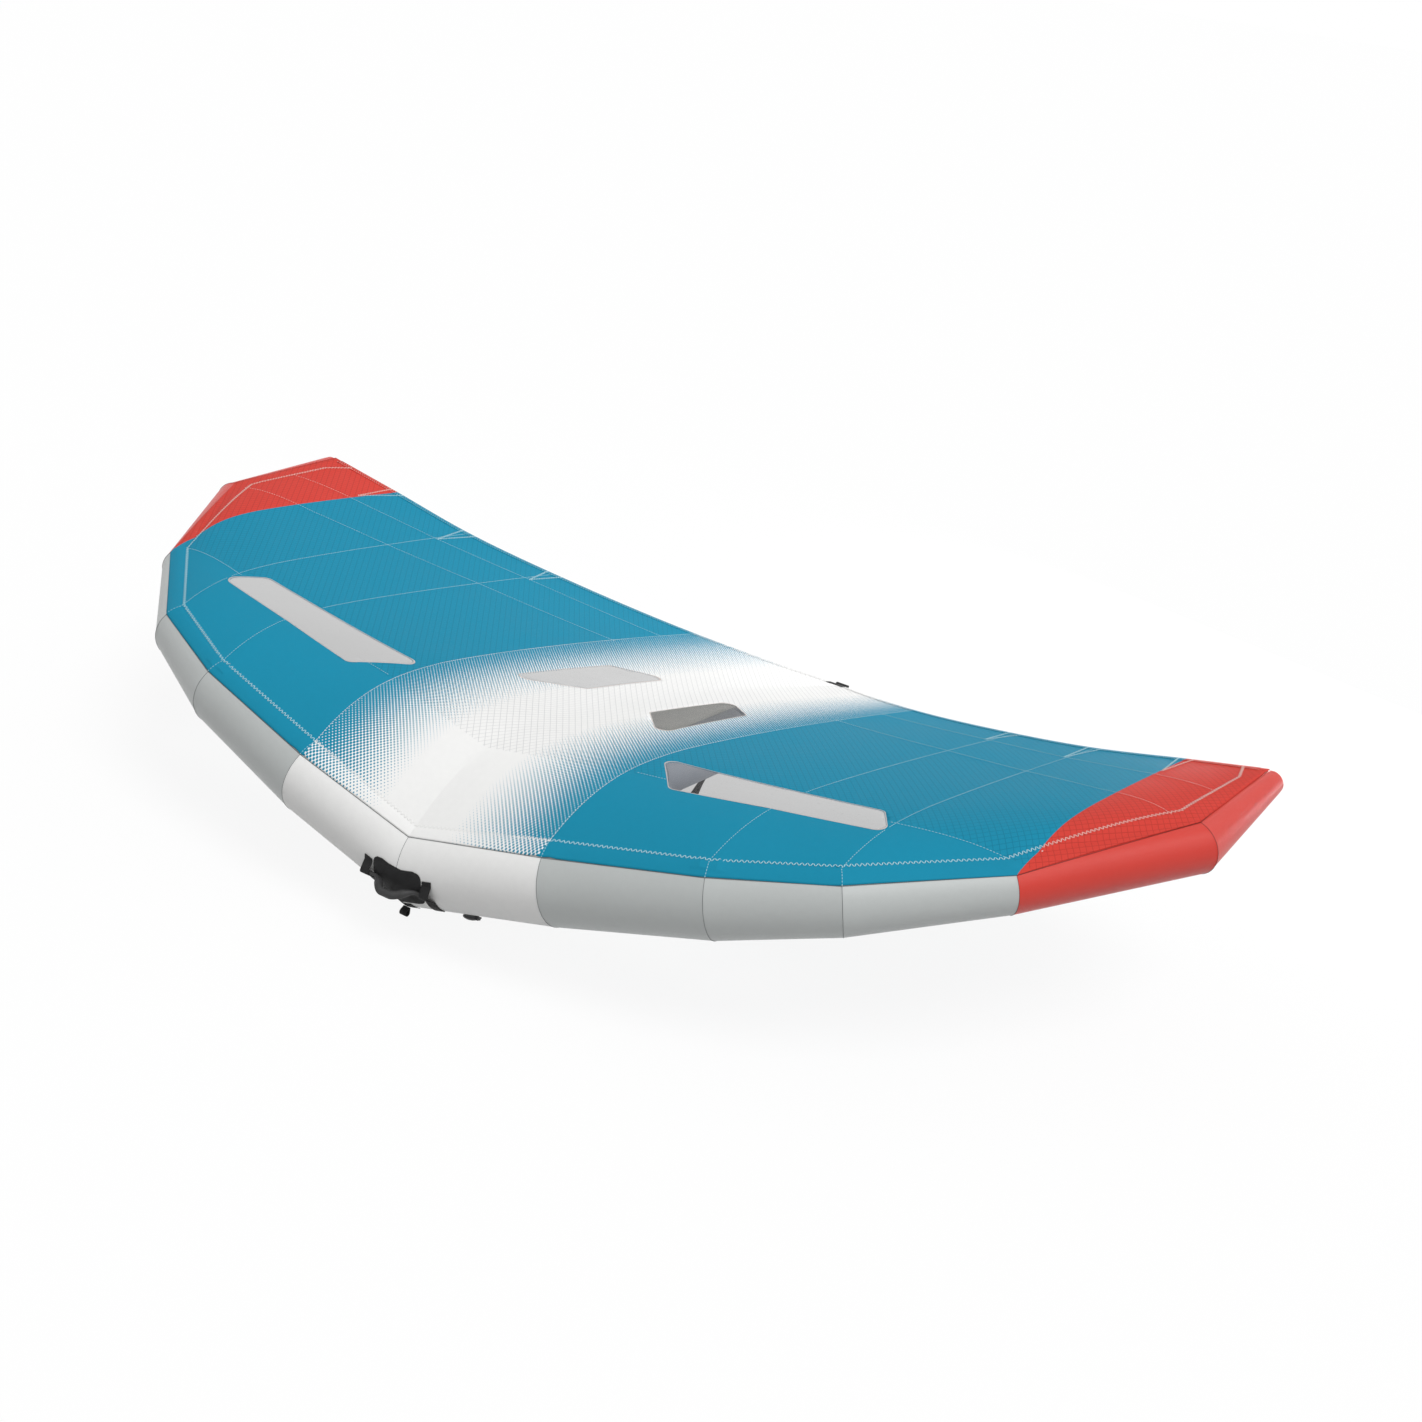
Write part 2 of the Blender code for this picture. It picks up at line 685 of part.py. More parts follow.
def window_film(name, shares, side, cutters, parts):
    # The film is cut from a blank that follows the canopy, a little wider than the window.
    spans = [span for span, chord in shares]
    chords = [chord for span, chord in shares]
    columns, rows = FILM_GRID
    first_chord, last_chord = min(chords) - WINDOW_MARGIN_share, max(chords) + WINDOW_MARGIN_share
    first_span, last_span = min(spans) - WINDOW_MARGIN_share, max(spans) + WINDOW_MARGIN_share
    blank = []
    for i in range(rows + 1):
        chord = lerp(first_chord, last_chord, i / rows)
        row = []
        for k in range(columns + 1):
            x = TIP_WIDTH * lerp(first_span, last_span, k / columns)
            y = chord_place(x, chord)
            row.append(Vector((x, y, canopy_z(x, y))))
        blank.append(row)
    if side < 0:
        blank = mirrored(blank)
    film = add_mesh(name, grid(blank), parts, "film")
    thicken(film, WINDOW_FILM, 1.0)
    boolean(film, window_cutter(name + "_outline", shares, side, WINDOW_GAP / 2, cutters), 'INTERSECT')
    return film


# Strut.
def strut_radius(y):
    if y <= STRUT_TAPER_PLACE:
        return STRUT_DIAMETER / 2
    share = (y - STRUT_TAPER_PLACE) / (STRUT_TAIL_PLACE - STRUT_TAPER_PLACE)
    return lerp(STRUT_DIAMETER, STRUT_TAIL_DIAMETER, share) / 2


def strut_height(y):
    if y <= STRUT_TAPER_PLACE:
        return -STRUT_DROP
    share = (y - STRUT_TAPER_PLACE) / (STRUT_TAIL_PLACE - STRUT_TAPER_PLACE)
    return -lerp(STRUT_DROP, STRUT_TAIL_DROP, share)


def strut_ring(y, radius, height):
    # Rings run towards -Y as the loft goes towards +X, so the order is turned to point out.
    step = 2 * math.pi / STRUT_SIDES
    return [Vector((-radius * math.sin(step * k), y, height + radius * math.cos(step * k)))
            for k in range(STRUT_SIDES)]


def strut_rings(start, inset, end_inset):
    rings = [strut_ring(start, strut_radius(start) - inset, strut_height(start)),
             strut_ring(STRUT_TAPER_PLACE, strut_radius(STRUT_TAPER_PLACE) - inset,
                        strut_height(STRUT_TAPER_PLACE))]
    tail = STRUT_TAIL_PLACE - end_inset
    rings.append(strut_ring(tail, strut_radius(tail) - inset, strut_height(tail)))
    for share in STRUT_TAIL_ROW_shares:
        bulge = math.sqrt(1 - (share * STRUT_TAIL_CLOSING_share) ** 2)
        rings.append(strut_ring(tail + STRUT_TAIL_ROUNDING * share, (strut_radius(tail) - inset) * bulge,
                                strut_height(tail)))
    return rings


def strut_patch(name, y, parts):
    # A sewn patch under the strut, where a handle is anchored.
    rows = []
    for place in (y - PATCH_LENGTH / 2, y, y + PATCH_LENGTH / 2):
        row = []
        for k in range(-PATCH_SPOKES, PATCH_SPOKES + 1):
            turn = math.pi + 2 * math.pi * k / STRUT_SIDES
            radius = strut_radius(place) + FIT_GAP
            height = strut_height(place) + radius * math.cos(turn)
            row.append(Vector((radius * math.sin(turn), place, height)))
        rows.append(row)
    obj = add_mesh(name, grid(rows), parts, "black_webbing")
    thicken(obj, PATCH_THICKNESS, 1.0)
    return obj


def section(centre, side, normal, half_width, half_height, squareness=WEBBING_SQUARENESS):
    # A rounded section: an ellipse at squareness 1, and a softened rectangle below it.
    points = []
    for k in range(SECTION_SIDES):
        turn = 2 * math.pi * k / SECTION_SIDES
        cos, sin = math.cos(turn), math.sin(turn)
        wide = math.copysign(abs(cos) ** squareness, cos) * half_width
        tall = math.copysign(abs(sin) ** squareness, sin) * half_height
        points.append(centre + side * wide + normal * tall)
    return points


def path_normals(path, side):
    normals = []
    for k in range(len(path)):
        ahead = path[min(k + 1, len(path) - 1)] - path[max(k - 1, 0)]
        normals.append(ahead.normalized().cross(side))
    return normals


def handle_path(start, height):
    # The webbing's route in the centre plane: two necks under the patches and a bowed middle.
    end = start + HANDLE_SPREAD
    spread = HANDLE_SPREAD
    drop = HANDLE_DROP - GRIP_DIAMETER / 2
    half = NECK_LENGTH / 2
    places = [(start - half, 0.0), (start + half, 0.0)]
    places += [(start + spread * along, drop * down) for along, down in HANDLE_BOW_shares]
    places += [(start + end - y, down) for y, down in reversed(places)]
    return [Vector((0.0, y, height - down)) for y, down in places]


def strut_handle(prefix, place, parts):
    # Webbing that swings under the strut, with a foam sleeve on its middle.
    bottom = strut_height(place) - strut_radius(place)
    axis = bottom - FIT_GAP - PATCH_THICKNESS - FIT_GAP - NECK_RADIUS
    path = smooth_path(handle_path(place, axis), 3)
    for point in path:
        point.z = min(point.z, axis)
    normals = path_normals(path, SPANWISE)
    rings = []
    for k, (point, normal) in enumerate(zip(path, normals)):
        share = min(k, len(path) - 1 - k) / (len(path) - 1)
        flat = min(max((share - NECK_END_share) / NECK_SPREAD_share, 0.0), 1.0)
        wide = lerp(NECK_RADIUS, WEBBING_WIDTH / 2, flat)
        tall = lerp(NECK_RADIUS, WEBBING_THICKNESS / 2, flat)
        rings.append(section(point, SPANWISE, normal, wide, tall, lerp(1.0, WEBBING_SQUARENESS, flat)))
    webbing = add_mesh(prefix + "_handle_webbing", solid_loft(rings), parts, "black_webbing")
    start = int(len(path) * GRIP_START_share) + 1
    middle = range(start, len(path) - start)
    outer = []
    inner = []
    for k in middle:
        ends = min(k - middle[0], middle[-1] - k)
        radius = GRIP_DIAMETER / 2 * (GRIP_END_share if ends == 0 else 1.0)
        outer.append(section(path[k], SPANWISE, normals[k], radius, radius))
        inner.append(section(path[k], SPANWISE, normals[k], WEBBING_WIDTH / 2 + GRIP_CLEARANCE,
                             WEBBING_THICKNESS / 2 + GRIP_CLEARANCE))
    sleeve = loft(outer + list(reversed(inner)) + [outer[0]])
    bmesh.ops.remove_doubles(sleeve, verts=sleeve.verts, dist=1e-6)
    bmesh.ops.recalc_face_normals(sleeve, faces=sleeve.faces)
    grip = add_mesh(prefix + "_handle_grip", sleeve, parts, "black_foam")
    origin = Vector((0.0, place, axis))
    set_origin(webbing, origin)
    set_origin(grip, origin)
    strut_patch(prefix + "_handle_patch_front", place, parts)
    strut_patch(prefix + "_handle_patch_rear", place + HANDLE_SPREAD, parts)


def strip_lift(station, angle, hinge):
    # The strip rises over the grip's round end and comes down to the tube on both sides of it.
    around = LE_GRIP_NECK_DIAMETER / 2 + 4 * GRIP_CLEARANCE
    turn = math.radians(angle)
    spoke = Vector((0.0, math.sin(turn), math.cos(turn)))
    offset = tube_point(station, angle, 0.0) - hinge
    offset.x = 0.0
    along = offset.dot(spoke)
    off = (offset - spoke * along).length / around
    if off >= STRIP_FOOT_share:
        return STRIP_LIFT
    height = around * math.sqrt(1 - min(off, STRIP_SHOULDER_share) ** 2) - along
    if off > STRIP_SHOULDER_share:
        down = (off - STRIP_SHOULDER_share) / (STRIP_FOOT_share - STRIP_SHOULDER_share)
        height = lerp(height, STRIP_LIFT, down)
    return max(height, STRIP_LIFT)


def leading_edge_handle(parts):
    first_length = AXIS[1].x
    end = STRIP_PLACE / first_length
    hinge = tube_point(end, LE_GRIP_ANGLE, LE_GRIP_STANDOFF + LE_GRIP_NECK_DIAMETER / 2)
    hinge.x = 0.0
    for side, word in ((1.0, "right"), (-1.0, "left")):
        inner = (STRIP_PLACE - STRIP_WIDTH / 2) / first_length
        outer = (STRIP_PLACE + STRIP_WIDTH / 2) / first_length
        stations = [inner, outer] if side > 0 else [-outer, -inner]
        rows = []
        for k in range(STRIP_ROWS + 1):
            angle = lerp(STRIP_TOP_ANGLE, STRIP_BOTTOM_ANGLE, k / STRIP_ROWS)
            rows.append([tube_point(station, angle, strip_lift(station, angle, hinge))
                         for station in stations])
        strip = add_mesh("handle_strip_" + word, grid(rows), parts, "black_webbing")
        thicken(strip, STRIP_THICKNESS, -1.0)
    half = PAD_WIDTH / 2 / first_length
    stations = [half * k / 3 for k in range(-3, 4)]
    rows = []
    for share in PAD_ROW_shares:
        angle = lerp(PAD_TOP_ANGLE, PAD_BOTTOM_ANGLE, share)
        edge = (abs(share - 0.5) * 2 - 1 + PAD_CORNER_share) / PAD_CORNER_share
        reach = 1.0 - PAD_CORNER_DEPTH_share * (1.0 - math.sqrt(1.0 - max(edge, 0.0) ** 2))
        rows.append([tube_point(station * reach, angle, STRIP_LIFT) for station in stations])
    pad = add_mesh("handle_pad", grid(rows), parts, "black_webbing")
    thicken(pad, PAD_THICKNESS, -1.0)
    turn = math.radians(LE_GRIP_ANGLE)
    bow_direction = Vector((0.0, math.sin(turn), math.cos(turn)))
    straight = STRIP_PLACE - STRIP_WIDTH / 2 - LE_GRIP_END
    reach = STRIP_PLACE + LE_GRIP_END
    path = []
    radii = []
    for share in GRIP_SPAN_shares:
        # Its ends under the strips are thin, and it swells as it bows away from the tube.
        x = reach * share
        rise = min(max((1.0 - abs(x) / straight) / LE_GRIP_RISE_share, 0.0), 1.0)
        bow = rise * rise * (3 - 2 * rise)
        path.append(hinge + bow_direction * LE_GRIP_BOW * bow + SPANWISE * x)
        radii.append(lerp(LE_GRIP_NECK_DIAMETER, LE_GRIP_DIAMETER, min(LE_GRIP_SWELL_share * bow, 1.0)) / 2)
    rings = []
    for k, point in enumerate(path):
        ahead = (path[min(k + 1, len(path) - 1)] - path[max(k - 1, 0)]).normalized()
        if abs(point.x) > straight:
            ahead = SPANWISE
        side = ahead.cross(UP).normalized()
        over = side.cross(ahead)
        ring = []
        for step in range(LE_GRIP_SIDES):
            turn = 2 * math.pi * step / LE_GRIP_SIDES
            ring.append(point + (side * math.cos(turn) + over * math.sin(turn)) * radii[k])
        rings.append(ring)
    grip = add_mesh("handle_grip", solid_loft(rings), parts, "black_foam")
    set_origin(grip, hinge)


def loop_outline(small, large, distance):
    # Teardrop: the small circle's top, the large circle's underside and straight sides.
    lean = math.asin((large - small) / distance)
    points = []
    for k in range(LOOP_TOP_STEPS + 1):
        turn = math.pi - lean - (math.pi - 2 * lean) * k / LOOP_TOP_STEPS
        points.append((small * math.cos(turn), small * math.sin(turn)))
    for k in range(LOOP_BOTTOM_STEPS + 1):
        turn = lean - (math.pi + 2 * lean) * k / LOOP_BOTTOM_STEPS
        points.append((large * math.cos(turn), -distance + large * math.sin(turn)))
    return points


def webbing_loop(name, reach, radius, wall, width, matrix, cutters, parts):
    # A folded webbing loop: a teardrop ring that swings about its narrow end.
    outer = loop_outline(LOOP_TOP_RADIUS, radius, reach)
    inner = loop_outline(LOOP_TOP_RADIUS * LOOP_EYE_share, radius - wall, reach - LOOP_TOP_RADIUS)
    inner = [(x, y - LOOP_TOP_RADIUS) for x, y in inner]
    loop = flat_outline(name, outer, -width / 2, width / 2, parts)
    hole = as_cutter(flat_outline(name + "_hole", inner, -width, width, cutters))
    loop.matrix_world = matrix @ loop.matrix_world
    hole.matrix_world = matrix @ hole.matrix_world
    boolean(loop, hole, 'DIFFERENCE')
    finish(loop, "black_webbing")
    return loop


def outward(station, angle):
    # The direction out of the tube at one of its places.
    inner = tube_point(station, angle, 0.0)
    outer = tube_point(station, angle, 1.0)
    return (outer - inner).normalized()


def frame_at(place, out, across):
    # A matrix with its Z axis along out and its X axis near across.
    third = out.cross(across).normalized()
    first = third.cross(out).normalized()
    return Matrix.Translation(place) @ Matrix((first, third, out)).transposed().to_4x4()


def leash(cutters, parts):
    half = LEASH_PATCH_SIZE / 2 / AXIS[1].x
    arc = math.degrees(LEASH_PATCH_SIZE / 2 / RADII[0])
    stations = [half * k / 2 for k in range(-2, 3)]
    angles = [LEASH_ANGLE + arc * (1 - k / 2) for k in range(5)]
    rows = [[tube_point(station, angle, STRIP_LIFT) for station in stations] for angle in angles]
    patch = add_mesh("leash_patch", grid(rows), parts, "black_webbing")
    thicken(patch, STRIP_THICKNESS, -1.0)
    out = outward(0.0, LEASH_ANGLE)
    lift = STRIP_LIFT + STRIP_THICKNESS + FIT_GAP + LOOP_TOP_RADIUS
    place = tube_point(0.0, LEASH_ANGLE, lift)
    # The outline's plane holds the outward direction, and the webbing's width lies spanwise.
    matrix = Matrix.Translation(place) @ Matrix((SPANWISE.cross(out), -out, SPANWISE)).transposed().to_4x4()
    webbing_loop("leash_loop", LEASH_LOOP_REACH, LEASH_LOOP_RADIUS, LEASH_LOOP_WALL, LEASH_LOOP_WIDTH,
                 matrix, cutters, parts)


def tail(cutters, parts):
    # A black patch over the canopy's rearmost point, with a flat loop behind it.
    half = TAIL_PATCH_WIDTH / 2
    rows = []
    for k in range(4):
        row = []
        for j in range(-3, 4):
            x = half * j / 3
            edge = trailing_line(abs(x))[0]
            y = edge - TAIL_PATCH_DEPTH * (1 - k / 3)
            row.append(Vector((x, y, canopy_z(x, y) + CANOPY_CLOTH + 2 * FIT_GAP)))
        rows.append(row)
    patch = add_mesh("tail_patch", grid(rows), parts, "black_webbing")
    thicken(patch, TAIL_PATCH_THICKNESS, 1.0)
    height = canopy_z(0.0, CANOPY_CHORD) + CANOPY_CLOTH / 2
    place = Vector((0.0, CANOPY_CHORD + FIT_GAP + LOOP_TOP_RADIUS, height))
    matrix = Matrix.Translation(place) @ Matrix((UP, -AFT, SPANWISE)).transposed().to_4x4()
    webbing_loop("tail_loop", TAIL_LOOP_REACH, TAIL_LOOP_RADIUS, TAIL_LOOP_WALL, TAIL_LOOP_WIDTH,
                 matrix, cutters, parts)


def valve(cutters, parts):
    # The valve body stands in the casing and the bladder; its cap swings open on a side strap.
    station = VALVE_PLACE / AXIS[1].x
    out = outward(station, VALVE_ANGLE)
    seat = tube_point(station, VALVE_ANGLE, 0.0)
    matrix = frame_at(seat, out, SPANWISE)
    profile = [(VALVE_RADIUS, VALVE_OUTSIDE), (VALVE_RADIUS, -VALVE_INSIDE),
               (VALVE_BORE_RADIUS, -VALVE_INSIDE), (VALVE_BORE_RADIUS, VALVE_OUTSIDE)]
    body = turned("valve_body", profile, matrix, parts, "black_plastic", ring=True)
    # A lug on the body carries the cap's hinge.
    inner_end = VALVE_RADIUS - (VALVE_RADIUS - VALVE_BORE_RADIUS) / 2
    outer_end = VALVE_HINGE_REACH + VALVE_HINGE_RADIUS
    lug_height = VALVE_OUTSIDE - 2 * FIT_GAP
    lug = bmesh.new()
    bmesh.ops.create_cube(lug, size=1.0)
    bmesh.ops.scale(lug, vec=(outer_end - inner_end, VALVE_HINGE_WIDTH, lug_height), verts=lug.verts)
    middle = Vector(((outer_end + inner_end) / 2, 0.0, 2 * FIT_GAP + lug_height / 2))
    bmesh.ops.translate(lug, vec=middle, verts=lug.verts)
    lug_solid = as_cutter(add_mesh("valve_hinge_lug", lug, cutters))
    lug_solid.matrix_world = matrix
    boolean(body, lug_solid, 'UNION')
    base = VALVE_OUTSIDE + FIT_GAP
    plug = VALVE_BORE_RADIUS - VALVE_PLUG_CLEARANCE
    crown = VALVE_CAP_HEIGHT
    profile = [(0.0, base + crown)]
    for out_share, down_share in VALVE_CAP_ROW_shares:
        profile.append((VALVE_CAP_RADIUS * out_share, base + crown - VALVE_CAP_CROWN * down_share))
    profile += [(VALVE_CAP_RADIUS, base), (plug, base), (plug, base - VALVE_PLUG_DEPTH)]
    profile.append((0.0, base - VALVE_PLUG_DEPTH))
    cap = turned("valve_cap", profile, matrix, parts, "black_plastic")
    # The strap's ear reaches from the cap's rim to the hinge line.
    ear_base = base + VALVE_HINGE_RADIUS
    ear = bmesh.new()
    bmesh.ops.create_cube(ear, size=1.0)
    reach = VALVE_HINGE_REACH - VALVE_CAP_RADIUS / 2
    bmesh.ops.scale(ear, vec=(reach, VALVE_HINGE_WIDTH, VALVE_HINGE_RADIUS * 2), verts=ear.verts)
    bmesh.ops.translate(ear, vec=(VALVE_HINGE_REACH - reach / 2, 0.0, ear_base), verts=ear.verts)
    ear_solid = add_mesh("valve_cap_ear", ear, cutters)
    ear_solid.matrix_world = matrix
    as_cutter(ear_solid)
    boolean(cap, ear_solid, 'UNION')
    set_origin(cap, matrix @ Vector((VALVE_HINGE_REACH, 0.0, ear_base)))
    deep = seat - out * (VALVE_INSIDE + CUT_OVERRUN)
    high = seat + out * CUT_OVERRUN
    return cylinder("valve_hole", VALVE_RADIUS + FIT_GAP, deep, high, cutters)


def port(name, place, out, parts, cutters):
    # A hose nipple with a collar, set through casing and bladder.
    matrix = frame_at(place, out, AFT if abs(out.y) < 0.5 else SPANWISE)
    nipple = HOSE_RADIUS
    profile = [(nipple, PORT_OUTSIDE), (nipple, PORT_OUTSIDE * PORT_NIPPLE_share),
               (PORT_RADIUS, PORT_OUTSIDE * PORT_COLLAR_share),
               (PORT_RADIUS, -PORT_INSIDE), (PORT_BORE_RADIUS, -PORT_INSIDE),
               (PORT_BORE_RADIUS, PORT_OUTSIDE)]
    turned(name, profile, matrix, parts, "black_plastic", ring=True)
    deep = place - out * (PORT_INSIDE + CUT_OVERRUN)
    high = place + out * CUT_OVERRUN
    return cylinder(name + "_hole", PORT_RADIUS + FIT_GAP, deep, high, cutters)


def bezier(points, share):
    a, b, c, d = points
    rest = 1 - share
    return a * rest ** 3 + b * 3 * rest ** 2 * share + c * 3 * rest * share ** 2 + d * share ** 3


def hose(start, start_out, end, end_out, cutters, parts):
    # The hose between the two ports and the pinch clamp on its middle.
    first = start + start_out * (PORT_OUTSIDE + FIT_GAP)
    last = end + end_out * (PORT_OUTSIDE + FIT_GAP)
    bend_start = first + start_out * HOSE_RADIUS
    bend_end = last + end_out * HOSE_RADIUS
    controls = (bend_start, bend_start + start_out * HOSE_LEAD, bend_end + end_out * HOSE_LEAD, bend_end)
    curve = bpy.data.curves.new("transfer_hose", 'CURVE')
    curve.dimensions = '3D'
    curve.bevel_depth = HOSE_RADIUS
    curve.bevel_resolution = 2
    curve.use_fill_caps = True
    spline = curve.splines.new('POLY')
    bends = [bezier(controls, k / HOSE_BENDS) for k in range(HOSE_BENDS + 1)]
    route = [first] + bends + [last]
    spline.points.add(len(route) - 1)
    for slot, point in zip(spline.points, route):
        slot.co = (*point, 1.0)
    obj = bpy.data.objects.new("transfer_hose", curve)
    parts.objects.link(obj)
    as_mesh(obj, parts, "black_foam")
    middle = bezier(controls, CLAMP_PLACE_share)
    ahead = bezier(controls, CLAMP_PLACE_share + CLAMP_AIM_share)
    along = (ahead - bezier(controls, CLAMP_PLACE_share - CLAMP_AIM_share)).normalized()
    matrix = frame_at(middle, -UP - along * -UP.dot(along), along)
    block = bmesh.new()
    bmesh.ops.create_cube(block, size=1.0)
    bmesh.ops.scale(block, vec=(CLAMP_LENGTH, CLAMP_WIDTH, CLAMP_HEIGHT), verts=block.verts)
    clamp = add_mesh("hose_clamp", block, parts, "black_plastic")
    clamp.matrix_world = matrix
    edges = clamp.modifiers.new("edges", 'BEVEL')
    edges.width = CLAMP_BEVEL
    edges.segments = 2
    bore = cylinder("hose_clamp_bore", HOSE_RADIUS + CLAMP_BORE_CLEARANCE, middle - along * CLAMP_LENGTH,
                    middle + along * CLAMP_LENGTH, cutters)
    boolean(clamp, bore, 'DIFFERENCE')
    # The lever lies on the clamp's outer face and lifts about one of its ends.
    level = CLAMP_HEIGHT / 2 + FIT_GAP + LEVER_THICKNESS / 2
    length = CLAMP_WIDTH + LEVER_OVERHANG
    lever_mesh = bmesh.new()
    bmesh.ops.create_cube(lever_mesh, size=1.0)
    bmesh.ops.scale(lever_mesh, vec=(LEVER_WIDTH, length, LEVER_THICKNESS), verts=lever_mesh.verts)
    start_y = -CLAMP_WIDTH / 2 + LEVER_THICKNESS / 2
    bmesh.ops.translate(lever_mesh, vec=(0.0, start_y + length / 2, 0.0), verts=lever_mesh.verts)
    lever = add_mesh("hose_clamp_lever", lever_mesh, parts, "black_plastic")
    lever.matrix_world = matrix @ Matrix.Translation((0.0, 0.0, level))
    edges = lever.modifiers.new("edges", 'BEVEL')
    edges.width = LEVER_THICKNESS * LEVER_BEVEL_share
    edges.segments = 2
    set_origin(lever, matrix @ Vector((0.0, start_y + LEVER_THICKNESS / 2, level)))


def segment_rings(index, inset):
    # The rings of one casing length, a little short of its seams. The last one closes the tip.
    rings = [tube_ring(index, inset, SEAM_GAP / 2)]
    if index < len(SEGMENT_LENGTHS) - 1:
        return rings + [tube_ring(index + 1, inset, -SEAM_GAP / 2)]
    rings.append(tube_ring(index + 1, inset, -TIP_ROUNDING - inset))
    rounding = TIP_ROUNDING * TIP_CAP_ROW_share
    rings.append(tube_ring(index + 1, inset + rounding, -rounding - inset))
    rings.append(tube_ring(index + 1, inset + TIP_ROUNDING, -inset))
    return rings


def leading_edge(parts):
    # Six casing lengths a side, each a thin shell.
    casings = {}
    for index in range(len(SEGMENT_LENGTHS)):
        outer = segment_rings(index, 0.0)
        inner = segment_rings(index, CASING_WALL)
        last = index == len(SEGMENT_LENGTHS) - 1
        for word in ("right", "left"):
            name = "leading_edge_" + word + "_" + str(index + 1)
            casings[name] = add_mesh(name, shell_loft(outer, inner, last), parts, SEGMENT_FINISHES[index])
            outer, inner = mirrored_lengths(outer), mirrored_lengths(inner)
    return casings


def leading_edge_bladder(parts):
    inset = CASING_WALL + BLADDER_CLEARANCE
    last = len(AXIS) - 1
    rings = [tube_ring(k, inset, 0.0)[::2] for k in range(last)]
    rings.append(tube_ring(last, inset, -TIP_ROUNDING - inset)[::2])
    whole = loft(tip_to_tip(rings), True, True, True)
    bladder = add_mesh("bladder_leading_edge", whole, parts, "bladder_film")
    thicken(bladder, BLADDER_WALL, -1.0)
    return bladder


def tube_cutter(cutters):
    # A solid of the centre tube lengths, a gap larger, that shapes the strut's nose.
    rings = [tube_ring(k, -FIT_GAP, 0.0) for k in range(2)]
    return as_cutter(add_mesh("tube_cutter", loft(tip_to_tip(rings), True, True, True), cutters))


def strut(parts, cutters):
    casing = add_mesh("strut_casing", loft(strut_rings(RADII[0] / 2, 0.0, 0.0), True, False, True), parts,
                      "grey_cloth")
    thicken(casing, CASING_WALL, -1.0)
    boolean(casing, tube_cutter(cutters), 'DIFFERENCE')
    inset = CASING_WALL + BLADDER_CLEARANCE
    rings = strut_rings(STRUT_BLADDER_NOSE, inset, 2 * inset)
    nose_radius = (strut_radius(0.0) - inset) * STRUT_BLADDER_NOSE_share
    nose = strut_ring(STRUT_BLADDER_NOSE - STRUT_TAIL_ROUNDING / 2, nose_radius, strut_height(0.0))
    bladder = add_mesh("bladder_strut", loft([nose] + rings, True, True, True), parts, "bladder_film")
    thicken(bladder, BLADDER_WALL, -1.0)
    return casing, bladder


def rib(parts):
    # The cloth wall between the strut and the canopy: its edges follow tube, strut and canopy.
    column = canopy_column(0.0, 0.0)
    top = [(point.y, point.z - FIT_GAP) for point in column]
    tube = RADII[0] + 2 * FIT_GAP
    start = LEAVE_ANGLES[0] * RIB_NOSE_share
    join_z = strut_height(0.0) + strut_radius(0.0) + FIT_GAP
    low, join = 0.0, 90.0
    for k in range(HALVINGS):
        middle = (low + join) / 2
        if seam_point(0, tube, middle).z > join_z:
            low = middle
        else:
            join = middle
    arc = []
    for k in range(RIB_NOSE_STEPS + 1):
        place = seam_point(0, tube, lerp(join, start, k / RIB_NOSE_STEPS))
        arc.append((place.y, place.z))
    first_y = arc[-1][0]
    tail_y = STRUT_TAIL_PLACE
    upper = [(y, z) for y, z in top if first_y < y < tail_y]
    first = top[[y for y, z in top].index(upper[0][0]) - 1]
    nose_z = lerp(first[1], upper[0][1], (first_y - first[0]) / (upper[0][0] - first[0]))
    after = top[[y for y, z in top].index(upper[-1][0]) + 1]
    tail_z = lerp(upper[-1][1], after[1], (tail_y - upper[-1][0]) / (after[0] - upper[-1][0]))
    lower = [(y, strut_height(y) + strut_radius(y) + FIT_GAP) for y in (tail_y, STRUT_TAPER_PLACE)]
    outline = [(first_y, nose_z)] + upper + [(tail_y, tail_z)] + lower + arc[:-1]
    made = bmesh.new()
    corners = [made.verts.new((-RIB_CLOTH / 2, y, z)) for y, z in outline]
    face = made.faces.new(corners)
    moved = bmesh.ops.extrude_face_region(made, geom=[face])
    bmesh.ops.translate(made, vec=(RIB_CLOTH, 0.0, 0.0),
                        verts=[item for item in moved["geom"] if isinstance(item, bmesh.types.BMVert)])
    bmesh.ops.recalc_face_normals(made, faces=made.faces)
    add_mesh("strut_rib", made, parts, "pale_cloth")


